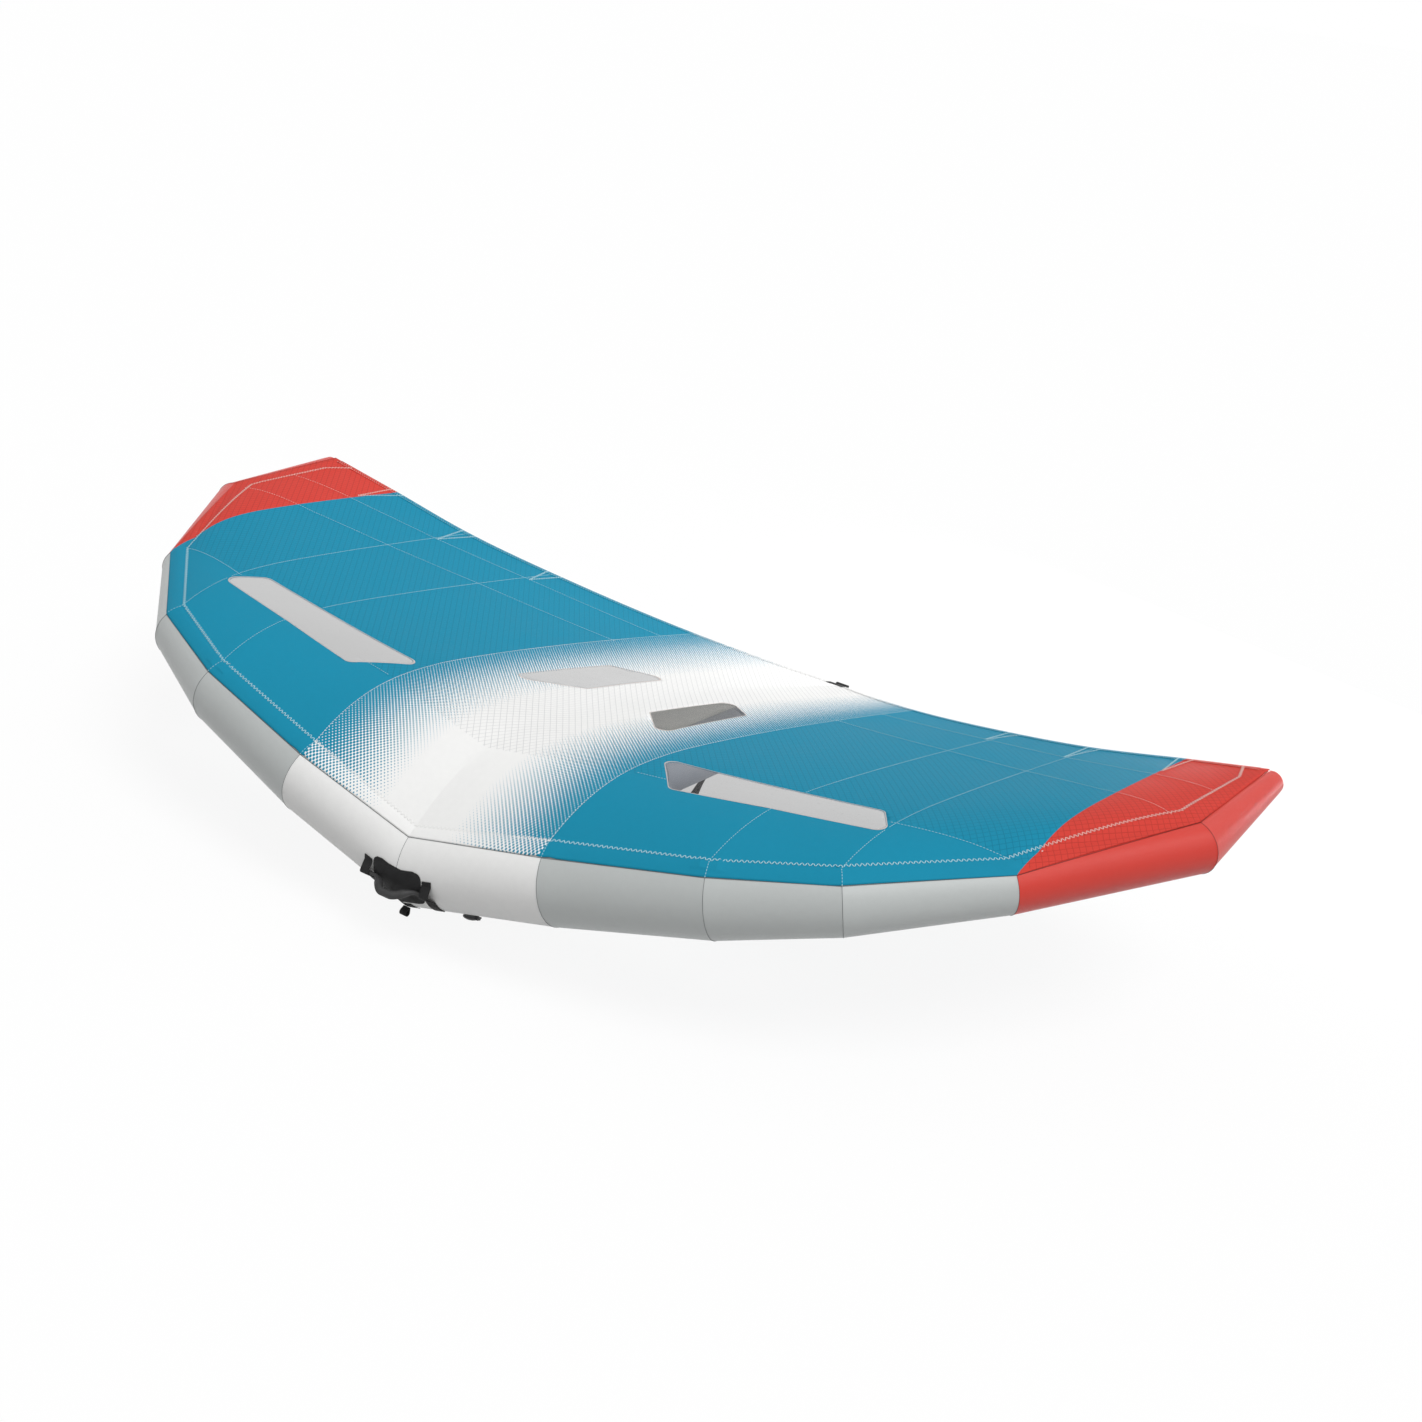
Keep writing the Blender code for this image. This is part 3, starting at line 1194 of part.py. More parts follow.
def canopy(parts, cutters):
    holes = {}
    for side, word in ((1.0, "right"), (-1.0, "left")):
        for place, shares in (("front", FRONT_WINDOW_shares), ("rear", REAR_WINDOW_shares)):
            name = "window_" + word + "_" + place
            window_film(name, shares, side, cutters, parts)
            holes[name] = window_cutter(name + "_hole", shares, side, -WINDOW_GAP / 2, cutters)
    centre = panel_rows(-1.0, 1.0, 2 * PANEL_COLUMNS[0])
    panel = add_mesh("canopy_centre", grid(centre), parts, "white_cloth")
    thicken(panel, CANOPY_CLOTH, 1.0)
    boolean(panel, holes["window_right_rear"], 'DIFFERENCE')
    boolean(panel, holes["window_left_rear"], 'DIFFERENCE')
    for k, panel_name in enumerate(PANEL_NAMES):
        rows = panel_rows(k + 1, k + 2, PANEL_COLUMNS[k + 1])
        for word, points in (("right", rows), ("left", mirrored(rows))):
            panel = add_mesh("canopy_" + word + "_" + panel_name, grid(points), parts, "blue_cloth")
            thicken(panel, CANOPY_CLOTH, 1.0)
            if panel_name != "outer":
                boolean(panel, holes["window_" + word + "_front"], 'DIFFERENCE')
    rows = tip_rows()
    for word, points in (("right", rows), ("left", mirrored(rows))):
        panel = add_mesh("canopy_" + word + "_tip", grid(points), parts, "red_cloth")
        thicken(panel, CANOPY_CLOTH, 1.0)


def stand_on_origin(parts):
    # Moves everything so that the origin is at the middle of the box's underside.
    bpy.context.view_layer.update()
    depsgraph = bpy.context.evaluated_depsgraph_get()
    low = Vector((math.inf, math.inf, math.inf))
    high = -low
    for obj in parts.objects:
        evaluated = obj.evaluated_get(depsgraph)
        mesh = evaluated.to_mesh()
        for vertex in mesh.vertices:
            place = obj.matrix_world @ vertex.co
            low = Vector(map(min, low, place))
            high = Vector(map(max, high, place))
        evaluated.to_mesh_clear()
    shift = Vector((-(low.x + high.x) / 2, -(low.y + high.y) / 2, -low.z))
    for obj in bpy.context.scene.objects:
        obj.location += shift
    return shift


def main():
    for obj in list(bpy.data.objects):
        bpy.data.objects.remove(obj)
    parts = collection("wingfoil_wing")
    cutters = collection("cutters")
    casings = leading_edge(parts)
    bladder = leading_edge_bladder(parts)
    strut_case, strut_bladder = strut(parts, cutters)
    rib(parts)
    canopy(parts, cutters)
    strut_handle("front", FRONT_HANDLE_PLACE, parts)
    strut_handle("rear", REAR_HANDLE_PLACE, parts)
    leading_edge_handle(parts)
    leash(cutters, parts)
    tail(cutters, parts)
    valve_hole = valve(cutters, parts)
    station = LE_PORT_PLACE / AXIS[1].x
    tube_out = outward(station, LE_PORT_ANGLE)
    tube_place = tube_point(station, LE_PORT_ANGLE, 0.0)
    tube_port = port("hose_port_leading_edge", tube_place, tube_out, parts, cutters)
    turn = math.radians(STRUT_PORT_ANGLE)
    strut_out = Vector((math.sin(turn), 0.0, math.cos(turn)))
    strut_place = Vector((0.0, STRUT_PORT_PLACE, strut_height(0.0))) + strut_out * strut_radius(0.0)
    strut_port = port("hose_port_strut", strut_place, strut_out, parts, cutters)
    for obj in (casings["leading_edge_right_1"], bladder):
        boolean(obj, valve_hole, 'DIFFERENCE')
        boolean(obj, tube_port, 'DIFFERENCE')
    for obj in (strut_case, strut_bladder):
        boolean(obj, strut_port, 'DIFFERENCE')
    hose(tube_place, tube_out, strut_place, strut_out, cutters, parts)
    stand_on_origin(parts)


main()
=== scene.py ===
# Looks of a wingfoil wing: inflated tube and strut, sewn canopy, windows, handles, valve and hose.
import math

import bmesh
import bpy
from mathutils import Matrix, Vector


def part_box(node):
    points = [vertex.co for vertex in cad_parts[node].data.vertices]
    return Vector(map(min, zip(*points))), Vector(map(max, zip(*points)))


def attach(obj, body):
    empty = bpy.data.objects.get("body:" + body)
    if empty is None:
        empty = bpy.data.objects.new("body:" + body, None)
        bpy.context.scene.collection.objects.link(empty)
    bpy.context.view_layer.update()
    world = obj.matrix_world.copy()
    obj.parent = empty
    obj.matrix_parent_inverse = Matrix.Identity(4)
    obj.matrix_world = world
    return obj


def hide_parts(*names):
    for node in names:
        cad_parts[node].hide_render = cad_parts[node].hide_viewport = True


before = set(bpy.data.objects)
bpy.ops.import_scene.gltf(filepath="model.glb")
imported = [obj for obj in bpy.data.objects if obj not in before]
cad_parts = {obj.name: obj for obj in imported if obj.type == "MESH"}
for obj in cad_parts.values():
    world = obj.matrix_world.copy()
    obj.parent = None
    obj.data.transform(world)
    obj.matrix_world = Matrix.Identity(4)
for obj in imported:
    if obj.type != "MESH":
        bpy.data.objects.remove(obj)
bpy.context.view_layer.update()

upward = Vector((0.0, 0.0, 1.0))
spanwise = Vector((1.0, 0.0, 0.0))
aft = Vector((0.0, 1.0, 0.0))
handSides = ((1.0, "right"), (-1.0, "left"))

tube = {
    "lengths": (0.402, 0.402, 0.288, 0.381, 0.531, 0.450),
    "sweeps": (2.2, 9.3, 20.6, 41.8, 59.8, 86.8),
    "rises": (12.9, 12.5, 12.2, 8.9, 6.6, 7.3),
    "diameters": (0.240, 0.228, 0.209, 0.176, 0.134, 0.135, 0.064),
    "sides": 96, "rings": 14, "tipRounding": 0.006,
    "colours": ("white", "grey", "grey", "grey", "red", "red"),
}

canopy = {
    "seamAngles": (-45.0, -45.0, -46.0, -46.0, -42.0, -5.0, 22.0),
    "leaveAngles": (-30.0, -21.0, -22.0, -17.0, 0.0, 0.0, 0.0),
    "cloth": 0.0008, "lift": 0.0015, "chord": 2.035, "tipChordShare": 0.652, "tipHeight": 0.444,
    "halfSpan": 1.600,
    "camber": 0.195, "camberSpread": 0.880, "camberPeak": 0.266, "riseDegree": 2.9, "fallDegree": 1.33,
    "tipFade": 0.250,
    "seamShares": (0.0, 0.2525, 0.516, 0.689, 0.856, 1.0),
    "trailingDepths": (1.0, 0.600, 0.297, 0.147, 0.071, 0.0),
    "bandRows": 8, "chordRows": 84, "columns": (20, 20, 14, 16), "tipColumns": 16, "tipSeam": 4,
}

strut = {
    "radius": 0.090, "height": -0.009, "firstRing": 0.16, "taperPlace": 1.360, "tailPlace": 1.900,
    "tailRadius": 0.047, "tailHeight": -0.024, "tailRounding": 0.030, "sides": 72, "gap": 0.0003,
    "wall": 0.0008,
}

# The shapes below are worked out round the centre of the leading edge and then moved to the frame.
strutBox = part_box("strut_casing")
shift = Vector((0.0, strutBox[1][1] - strut["tailPlace"] - strut["tailRounding"],
                strutBox[1][2] - strut["height"] - strut["radius"]))


def lerp(first, second, share):
    return first + (second - first) * share


def atShare(values, position):
    index = min(int(position), len(values) - 2)
    return lerp(values[index], values[index + 1], position - index)


def mirrored(point, side=-1.0):
    return Vector((point.x * side, point.y, point.z))


# The leading edge tube.
def tubeAxis():
    points = [Vector((0.0, 0.0, 0.0))]
    for length, sweep, rise in zip(tube["lengths"], tube["sweeps"], tube["rises"]):
        flat = math.cos(math.radians(rise))
        turn = math.radians(sweep)
        step = Vector((flat * math.cos(turn), flat * math.sin(turn), math.sin(math.radians(rise))))
        points.append(points[-1] + step * length)
    return points


axisPoints = tubeAxis()
firstLength = axisPoints[1].x
seamRadii = [diameter / 2 for diameter in tube["diameters"]]
tubeWays = [(b - a).normalized() for a, b in zip(axisPoints, axisPoints[1:])]


def seamNormal(station):
    if station == 0:
        return spanwise
    if station == len(axisPoints) - 1:
        return tubeWays[-1]
    return (tubeWays[station - 1] + tubeWays[station]).normalized()


def seamPoint(station, radius, angle):
    # A point of the mitred seam ring, angle in degrees from the top, forward negative.
    normal = seamNormal(station)
    high = (upward - normal * upward.dot(normal)).normalized()
    back = high.cross(normal)
    turn = math.radians(angle)
    spoke = high * math.cos(turn) + back * math.sin(turn)
    way = tubeWays[min(station, len(tubeWays) - 1)]
    slope = way - normal * way.dot(normal)
    if slope.length > 1e-6:
        bend = slope.normalized()
        spoke = spoke + bend * spoke.dot(bend) * (1 / way.dot(normal) - 1)
    return axisPoints[station] + spoke * radius


def tubePoint(station, angle, lift):
    position = abs(station)
    index = min(int(position), len(tubeWays) - 1)
    first = seamPoint(index, seamRadii[index] + lift, angle)
    second = seamPoint(index + 1, seamRadii[index + 1] + lift, angle)
    point = lerp(first, second, position - index)
    return mirrored(point) if station < 0 else point


def tubeOut(station, angle):
    return (tubePoint(station, angle, 1.0) - tubePoint(station, angle, 0.0)).normalized()


def tubeTop(x, y):
    # The height of the tube's upper skin over a plan place, from each length's cone.
    found = None
    for index, way in enumerate(tubeWays):
        base = axisPoints[index]
        length = tube["lengths"][index]
        flare = (seamRadii[index + 1] - seamRadii[index]) / length
        dx, dy = x - base.x, y - base.y
        along = dx * way.x + dy * way.y
        radius = seamRadii[index] + flare * along
        a = 1 - way.z ** 2 * (1 + flare ** 2)
        b = -2 * way.z * (along + radius * flare)
        c = dx ** 2 + dy ** 2 - along ** 2 - radius ** 2
        root = b * b - 4 * a * c
        if root < 0:
            continue
        height = (-b + math.sqrt(root)) / (2 * a)
        place = along + way.z * height
        margin = seamRadii[index] / 4
        if -margin <= place <= length + margin:
            height += base.z
            found = height if found is None else max(found, height)
    return found


# The strut under the centre line.
def strutTaper(y):
    return max((y - strut["taperPlace"]) / (strut["tailPlace"] - strut["taperPlace"]), 0.0)


def strutRadius(y):
    return lerp(strut["radius"], strut["tailRadius"], strutTaper(y))


def strutHeight(y):
    return lerp(strut["height"], strut["tailHeight"], strutTaper(y))


def strutOut(turn):
    return Vector((math.sin(turn), 0.0, math.cos(turn)))


def strutPoint(y, turn, lift=0.0):
    # A point round the strut, turn in radians from its top.
    return Vector((0.0, y, strutHeight(y))) + strutOut(turn) * (strutRadius(y) + lift)


# The canopy's surface, as a height over the plan.
leavePoints = [seamPoint(k, seamRadii[k], angle) for k, angle in enumerate(canopy["leaveAngles"])]


def frontLine(x):
    for first, second in zip(leavePoints[:-2], leavePoints[1:-1]):
        if x <= second.x:
            share = (x - first.x) / (second.x - first.x)
            return lerp(first.y, second.y, share), lerp(first.z, second.z, share)
    return leavePoints[-2].y, leavePoints[-2].z


def trailingLine(x):
    # A smooth curve through the seams' ends.
    share = min(x / canopy["halfSpan"], 1.0)
    tipChord = canopy["chord"] * canopy["tipChordShare"]
    spans, depths = canopy["seamShares"], canopy["trailingDepths"]
    k = max(i for i in range(len(spans) - 1) if spans[i] <= share)
    slopes = [(depths[i + 1] - depths[i]) / (spans[i + 1] - spans[i]) for i in range(len(spans) - 1)]
    knots = [slopes[0] * 1.15] + [(a + b) / 2 for a, b in zip(slopes, slopes[1:])] + [slopes[-1]]
    width = spans[k + 1] - spans[k]
    t = (share - spans[k]) / width
    depth = ((2 * t ** 3 - 3 * t ** 2 + 1) * depths[k] + (t ** 3 - 2 * t ** 2 + t) * width * knots[k]
             + (3 * t ** 2 - 2 * t ** 3) * depths[k + 1] + (t ** 3 - t ** 2) * width * knots[k + 1])
    return tipChord + (canopy["chord"] - tipChord) * depth, canopy["tipHeight"] * share


def chordPlace(x, chord):
    return lerp(frontLine(x)[0], trailingLine(x)[0], chord)


def camberShape(share):
    peak = canopy["camberPeak"]
    if share < peak:
        return 1 - (1 - share / peak) ** canopy["riseDegree"]
    return 1 - ((share - peak) / (1 - peak)) ** canopy["fallDegree"]


def camberSpan(x):
    nearTip = 1 - min(max((canopy["halfSpan"] - x) / canopy["tipFade"], 0.0), 1.0)
    return math.exp(-x / canopy["camberSpread"]) * (1 - nearTip ** 2)


def canopyHeight(x, y):
    # Underside of the cloth.
    x = abs(x)
    frontY, frontZ = frontLine(x)
    trailingY, trailingZ = trailingLine(x)
    share = (y - frontY) / (trailingY - frontY)
    top = tubeTop(x, y)
    if share <= 0.0:
        return (frontZ if top is None else top) + canopy["lift"]
    share = min(share, 1.0)
    camber = canopy["camber"] * camberSpan(x) * camberShape(share)
    height = lerp(frontZ, trailingZ, share) + camber + canopy["lift"]
    return height if top is None else max(height, top + canopy["lift"])


def underCanopy(x, y, lift=0.0):
    return Vector((x, y, canopyHeight(x, y) + lift))


def onCanopy(x, y, lift=0.0):
    return underCanopy(x, y, canopy["cloth"] + lift)


def canopyUp(x, y):
    reach = 0.004
    slopeX = (canopyHeight(x + reach, y) - canopyHeight(x - reach, y)) / (2 * reach)
    slopeY = (canopyHeight(x, y + reach) - canopyHeight(x, y - reach)) / (2 * reach)
    return Vector((-slopeX, -slopeY, 1.0)).normalized()


chordShares = [(k / canopy["chordRows"]) ** 1.12 for k in range(1, canopy["chordRows"] + 1)]


def planColumn(position):
    seam = atShare(canopy["seamAngles"], position)
    leave = atShare(canopy["leaveAngles"], position)
    endX = canopy["halfSpan"] * atShare(canopy["seamShares"], position)
    end = Vector((endX, trailingLine(endX)[0]))
    points = []
    for k in range(canopy["bandRows"] + 1):
        onTube = tubePoint(position, lerp(seam, leave, k / canopy["bandRows"]), canopy["lift"])
        points.append(onTube.to_2d())
    start = points[-1]
    return points + [start.lerp(end, share) for share in chordShares]


def canopyColumns():
    # Plan columns of the right half: the four sewn panels and then the tip panel.
    columns = []
    last = planColumn(canopy["tipSeam"])
    slope = (last[-1].x - last[0].x) / (last[-1].y - last[0].y)
    for panel, count in enumerate(canopy["columns"]):
        for k in range(count + (panel == 3)):
            position = panel + k / count
            points = planColumn(position)
            pull = position - canopy["tipSeam"] + 1
            if pull > 0:
                for point, other in zip(points, last):
                    point.x += pull * (last[0].x + slope * (other.y - last[0].y) - other.x)
            columns.append(points)
    inner = columns[-1]
    corner = tubePoint(5, canopy["seamAngles"][5], canopy["lift"]).to_2d()
    tip = tubePoint(6, canopy["seamAngles"][6], canopy["lift"]).to_2d()
    shares = [(point.y - inner[0].y) / (inner[-1].y - inner[0].y) for point in inner]
    for k in range(1, canopy["tipColumns"] + 1):
        front = inner[0].lerp(corner, k / canopy["tipColumns"])
        back = inner[-1].lerp(tip, k / canopy["tipColumns"])
        columns.append([front.lerp(back, share) for share in shares])
    return columns


# Shared mesh tools.
def linked(name, data):
    made = bpy.data.objects.new(name, data)
    bpy.context.scene.collection.objects.link(made)
    return made


def fromBmesh(name, made, material, sharp=35.0):
    mesh = bpy.data.meshes.new(name)
    made.to_mesh(mesh)
    made.free()
    mesh.shade_smooth()
    if sharp:
        mesh.set_sharp_from_angle(angle=math.radians(sharp))
    if material:
        mesh.materials.append(materials[material])
    return linked(name, mesh)


def runLengths(points):
    lengths = [0.0]
    for a, b in zip(points, points[1:]):
        lengths.append(lengths[-1] + (b - a).length)
    return lengths


def surface(name, rows, material, closed=False, caps=False, sharp=35.0, turn=False):
    # Quads between rows of points, with a UV map in metres.
    made = bmesh.new()
    layer = made.loops.layers.uv.new("metres")
    verts = [[made.verts.new(point + shift) for point in row] for row in rows]
    count = len(rows[0])
    spans = count if closed else count - 1
    along = runLengths([row[0] for row in rows])
    middle = rows[len(rows) // 2]
    across = runLengths(middle + middle[:1])
    for i in range(len(rows) - 1):
        for k in range(spans):
            n = (k + 1) % count
            face = made.faces.new((verts[i][k], verts[i][n], verts[i + 1][n], verts[i + 1][k]))
            spots = ((across[k], along[i]), (across[k + 1], along[i]),
                     (across[k + 1], along[i + 1]), (across[k], along[i + 1]))
            for loop, spot in zip(face.loops, spots):
                loop[layer].uv = spot
    if caps:
        made.faces.new(verts[0])
        made.faces.new(verts[-1])
        bmesh.ops.recalc_face_normals(made, faces=made.faces)
    if turn:
        bmesh.ops.reverse_faces(made, faces=made.faces)
    return fromBmesh(name, made, material, sharp)


def welded(piece, distance, recalculate=True):
    made = bmesh.new()
    made.from_mesh(piece.data)
    bmesh.ops.remove_doubles(made, verts=made.verts, dist=distance)
    if recalculate:
        bmesh.ops.recalc_face_normals(made, faces=made.faces)
    made.to_mesh(piece.data)
    made.free()
    return piece


def thicken(piece, thickness, offset):
    wall = piece.modifiers.new("wall", "SOLIDIFY")
    wall.thickness = thickness
    wall.offset = offset
    wall.use_even_offset = True
    return piece


def baked(piece):
    # Turns a piece with modifiers into a plain mesh.
    bpy.context.view_layer.update()
    mesh = bpy.data.meshes.new_from_object(piece.evaluated_get(bpy.context.evaluated_depsgraph_get()))
    piece.modifiers.clear()
    piece.data = mesh
    return piece


def settle(piece, body="wing", nodes=()):
    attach(piece, body)
    if nodes:
        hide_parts(*nodes)
    return piece


def clothStrip(name, rows, thickness, offset, nodes, turn=False):
    # A thin piece of black webbing, sewn to the wing.
    piece = thicken(surface(name, rows, "blackWebbing", turn=turn), thickness, offset)
    return settle(piece, "wing", nodes)


def faceArea(piece, layers=2):
    return sum(face.area for face in piece.data.polygons) / layers


def smoothPath(points, steps):
    ends = [points[0] * 2 - points[1]] + list(points) + [points[-1] * 2 - points[-2]]
    path = []
    for k in range(1, len(ends) - 2):
        p0, p1, p2, p3 = ends[k - 1:k + 3]
        for step in range(steps):
            t = step / steps
            path.append(0.5 * (2 * p1 + (p2 - p0) * t + (2 * p0 - 5 * p1 + 4 * p2 - p3) * t ** 2
                               + (3 * p1 - p0 - 3 * p2 + p3) * t ** 3))
    path.append(points[-1].copy())
    return path


def pathNormals(path, side):
    normals = []
    for k in range(len(path)):
        ahead = path[min(k + 1, len(path) - 1)] - path[max(k - 1, 0)]
        normals.append(ahead.normalized().cross(side))
    return normals


def section(centre, side, normal, halfWidth, halfHeight, count, squareness):
    points = []
    for k in range(count):
        turn = 2 * math.pi * k / count
        cos, sin = math.cos(turn), math.sin(turn)
        wide = math.copysign(abs(cos) ** squareness, cos) * halfWidth
        tall = math.copysign(abs(sin) ** squareness, sin) * halfHeight
        points.append(centre + side * wide + normal * tall)
    return points


def roundRing(centre, way, radius, count):
    side = way.cross(upward).normalized()
    over = side.cross(way)
    turns = [2 * math.pi * j / count for j in range(count)]
    return [centre + (side * math.cos(turn) + over * math.sin(turn)) * radius for turn in turns]


def axesAt(place, first, second, third):
    return Matrix.Translation(place) @ Matrix((first, second, third)).transposed().to_4x4()


# Shader maths: a Signal is a node's output, and each step with one adds a Math node.
class Signal:
    def __init__(self, socket):
        self.socket = socket

    def __add__(self, other):
        return calc("ADD", self, other)

    def __sub__(self, other):
        return calc("SUBTRACT", self, other)

    def __mul__(self, other):
        return calc("MULTIPLY", self, other)

    def __truediv__(self, other):
        return calc("DIVIDE", self, other)

    def __gt__(self, other):
        return calc("GREATER_THAN", self, other)

    def __lt__(self, other):
        return calc("LESS_THAN", self, other)


def treeOf(*values):
    return next(value.socket.id_data for value in values if isinstance(value, Signal))


def feed(socket, value):
    if isinstance(value, Signal):
        socket.id_data.links.new(value.socket, socket)
    elif socket.type == "RGBA":
        socket.default_value = (*value, 1.0)
    else:
        socket.default_value = value


def addNode(tree, kind, inputs, **settings):
    made = tree.nodes.new(kind)
    for label, value in settings.items():
        setattr(made, label, value)
    for label, value in inputs.items():
        feed(made.inputs[label], value)
    return made


def step(tree, kind, inputs, output=0, **settings):
    return Signal(addNode(tree, kind, inputs, **settings).outputs[output])


def calc(operation, *values):
    return step(treeOf(*values), "ShaderNodeMath", dict(enumerate(values)), operation=operation)


def mixed(factor, first, second, blend="MIX"):
    return step(treeOf(factor, first, second), "ShaderNodeMix", {0: factor, 6: first, 7: second}, 2,
                data_type="RGBA", blend_type=blend)


def times(colour, other):
    return mixed(1.0, colour, other, "MULTIPLY")


def noise(vector, scale, detail=2.0):
    inputs = {"Scale": scale, "Detail": detail, "Vector": vector}
    return step(treeOf(vector), "ShaderNodeTexNoise", inputs, "Fac")


def ramp(value, low, high, way="LINEAR"):
    inputs = {"Value": value, "From Min": low, "From Max": high}
    return step(treeOf(value), "ShaderNodeMapRange", inputs, "Result", interpolation_type=way)


def smoothStep(value, low, high):
    return ramp(value, low, high, "SMOOTHSTEP")


def split(vector):
    made = addNode(treeOf(vector), "ShaderNodeSeparateXYZ", {0: vector})
    return [Signal(socket) for socket in made.outputs]


def allThree(value, kind="ShaderNodeCombineColor"):
    return step(treeOf(value), kind, {0: value, 1: value, 2: value})


def groupWith(name, inputs, outputs):
    # A shader group: its inputs as signals and the sockets of its outputs.
    tree = bpy.data.node_groups.new(name, "ShaderNodeTree")
    for way, sockets in (("INPUT", inputs), ("OUTPUT", outputs)):
        for label, kind in sockets.items():
            tree.interface.new_socket(name=label, in_out=way, socket_type="NodeSocket" + kind)
    given = tree.nodes.new("NodeGroupInput")
    return {label: Signal(given.outputs[label]) for label in inputs}, tree.nodes.new("NodeGroupOutput").inputs


def useGroup(name, **values):
    made = addNode(treeOf(*values.values()), "ShaderNodeGroup", values, node_tree=bpy.data.node_groups[name])
    return {socket.name: Signal(socket) for socket in made.outputs}


def plainWeave():
    # Over and under threads. Thread is the width of one, in the vector's unit.
    given, put = groupWith("plainWeave", {"Vector": "Vector", "Thread": "Float"}, {"Height": "Float"})
    across, along = [part / given["Thread"] for part in split(given["Vector"])[:2]]
    warp = calc("ABSOLUTE", calc("SINE", across * math.pi))
    weft = calc("ABSOLUTE", calc("SINE", along * math.pi))
    over = calc("FLOORED_MODULO", calc("FLOOR", across) + calc("FLOOR", along), 2.0)
    feed(put["Height"], warp * over + weft * calc("SUBTRACT", 1.0, over))


def threadGrid():
    # Lines of a thicker thread, crossing at a slant.
    sockets = {"Vector": "Vector", "Spacing": "Float", "Width": "Float", "Slant": "Float"}
    given, put = groupWith("threadGrid", sockets, {"Mask": "Float"})
    across, along = split(given["Vector"])[:2]
    leaning = along * given["Slant"]
    masks = []
    for place in (across + leaning, across - leaning):
        off = calc("ABSOLUTE", calc("FRACT", place / given["Spacing"]) - 0.5)
        masks.append(calc("MAXIMUM", calc("SUBTRACT", 1.0, off * given["Spacing"] / given["Width"]), 0.0))
    feed(put["Mask"], calc("MAXIMUM", *masks))


def dotFade():
    # Round dots on a diagonal net that grow with Amount, from none at 0 to full cover at 1.
    sockets = {"Vector": "Vector", "Pitch": "Float", "Amount": "Float"}
    given, put = groupWith("dotFade", sockets, {"Mask": "Float"})
    across, along = split(given["Vector"])[:2]
    squares = []
    for place in (across + along, across - along):
        off = calc("FRACT", place / given["Pitch"]) - 0.5
        squares.append(off * off)
    reach = calc("MULTIPLY_ADD", given["Amount"], 0.62, -0.02)
    feed(put["Mask"], smoothStep(reach - calc("SQRT", squares[0] + squares[1]), -0.02, 0.02))


def clothTone():
    # Weave, slow fading and faint creases of sewn cloth; the weave also lightens the thread tops and darkens
    # the gaps in the colour, as painted shade.
    sockets = {"Vector": "Vector", "Place": "Vector", "Colour": "Color", "Thread": "Float"}
    given, put = groupWith("clothTone", sockets, {"Colour": "Color", "Height": "Float", "Roughness": "Float"})
    weave = useGroup("plainWeave", Vector=given["Vector"], Thread=given["Thread"])["Height"]
    slow = noise(given["Place"], 2.3, 3.0)
    fine = noise(given["Place"], 60.0, 3.0)
    creases = noise(given["Place"], 9.0, 4.0)
    # The weave term is painted shade, with lighter thread tops and darker gaps. The slow and fine noise is
    # the cloth's own uneven tone.
    tone = slow * 0.10 + fine * 0.05 + weave * 0.06 + 0.885
    feed(put["Colour"], times(given["Colour"], allThree(tone)))
    feed(put["Height"], weave * 0.3 + creases)
    feed(put["Roughness"], slow * 0.16 + 0.56)


def edgeDust():
    # Slow stains and fine grit for plastic and webbing.
    given, put = groupWith("edgeDust", {"Place": "Vector", "Colour": "Color", "Dust": "Float"},
                           {"Colour": "Color", "Roughness": "Float"})
    patches = smoothStep(noise(given["Place"], 35.0, 5.0), 0.45, 0.75)
    feed(put["Colour"], mixed(patches * given["Dust"], given["Colour"], (0.28, 0.27, 0.25)))
    feed(put["Roughness"], patches * 0.25 + 0.38)


materials = {}
colours = {
    "white": (0.91, 0.91, 0.90), "grey": (0.50, 0.525, 0.52), "red": (0.66, 0.060, 0.045),
    "redTube": (0.65, 0.042, 0.028), "teal": (0.012, 0.26, 0.41), "beige": (0.93, 0.91, 0.82),
    "strut": (0.60, 0.65, 0.74), "bladder": (0.72, 0.74, 0.74), "tape": (0.84, 0.84, 0.82),
    "border": (0.62, 0.55, 0.52), "film": (0.06, 0.06, 0.062), "scratch": (0.11, 0.11, 0.115),
    "webbing": (0.014, 0.014, 0.015), "foam": (0.016, 0.016, 0.017), "plastic": (0.014, 0.014, 0.015),
}
threadColours = {  # over the white middle, the teal sides and the red tips
    "paleThread": ((0.90, 0.90, 0.89), (0.46, 0.74, 0.82), (0.92, 0.60, 0.55)),
    "darkThread": ((0.20, 0.21, 0.22), (0.14, 0.15, 0.16), (0.07, 0.02, 0.02)),
}
cloth = {"thread": 0.0011, "bump": 0.0006, "bumpStrength": 0.6}
webbing = {"thread": 0.0016, "dust": 0.02, "sheen": 0.03, "bump": 0.0005}
filmLook = {"alpha": 0.27, "hazeAlpha": 0.03, "roughness": 0.12, "hazeRoughness": 0.2, "specular": 0.25}
pattern = {
    "dotSeam": (0.374, 0.0165), "redSeam": (1.3495, 0.0146),  # place at the front, and lean along the chord
    "bandLine": (-0.0600, 0.0885), "ripstopLine": (0.181, 0.1815),  # the same, but along the span
    "fadeWidth": 0.27, "fadePower": 0.60, "growth": 0.97, "bandLoss": 0.22, "dotPitch": 0.0114,
    "lineSpacing": 0.020, "lineWidth": 0.0016, "lineSlant": 0.75, "lineShare": 0.42,
    "lineShade": (0.25, 0.25, 0.28), "specular": 0.06, "hemTint": 0.93,
}


def newMaterial(name):
    made = bpy.data.materials.new(name)
    made.use_nodes = True
    materials[name] = made
    coords = made.node_tree.nodes.new("ShaderNodeTexCoord")
    return made.node_tree.nodes["Principled BSDF"].inputs, Signal(coords.outputs["Object"])


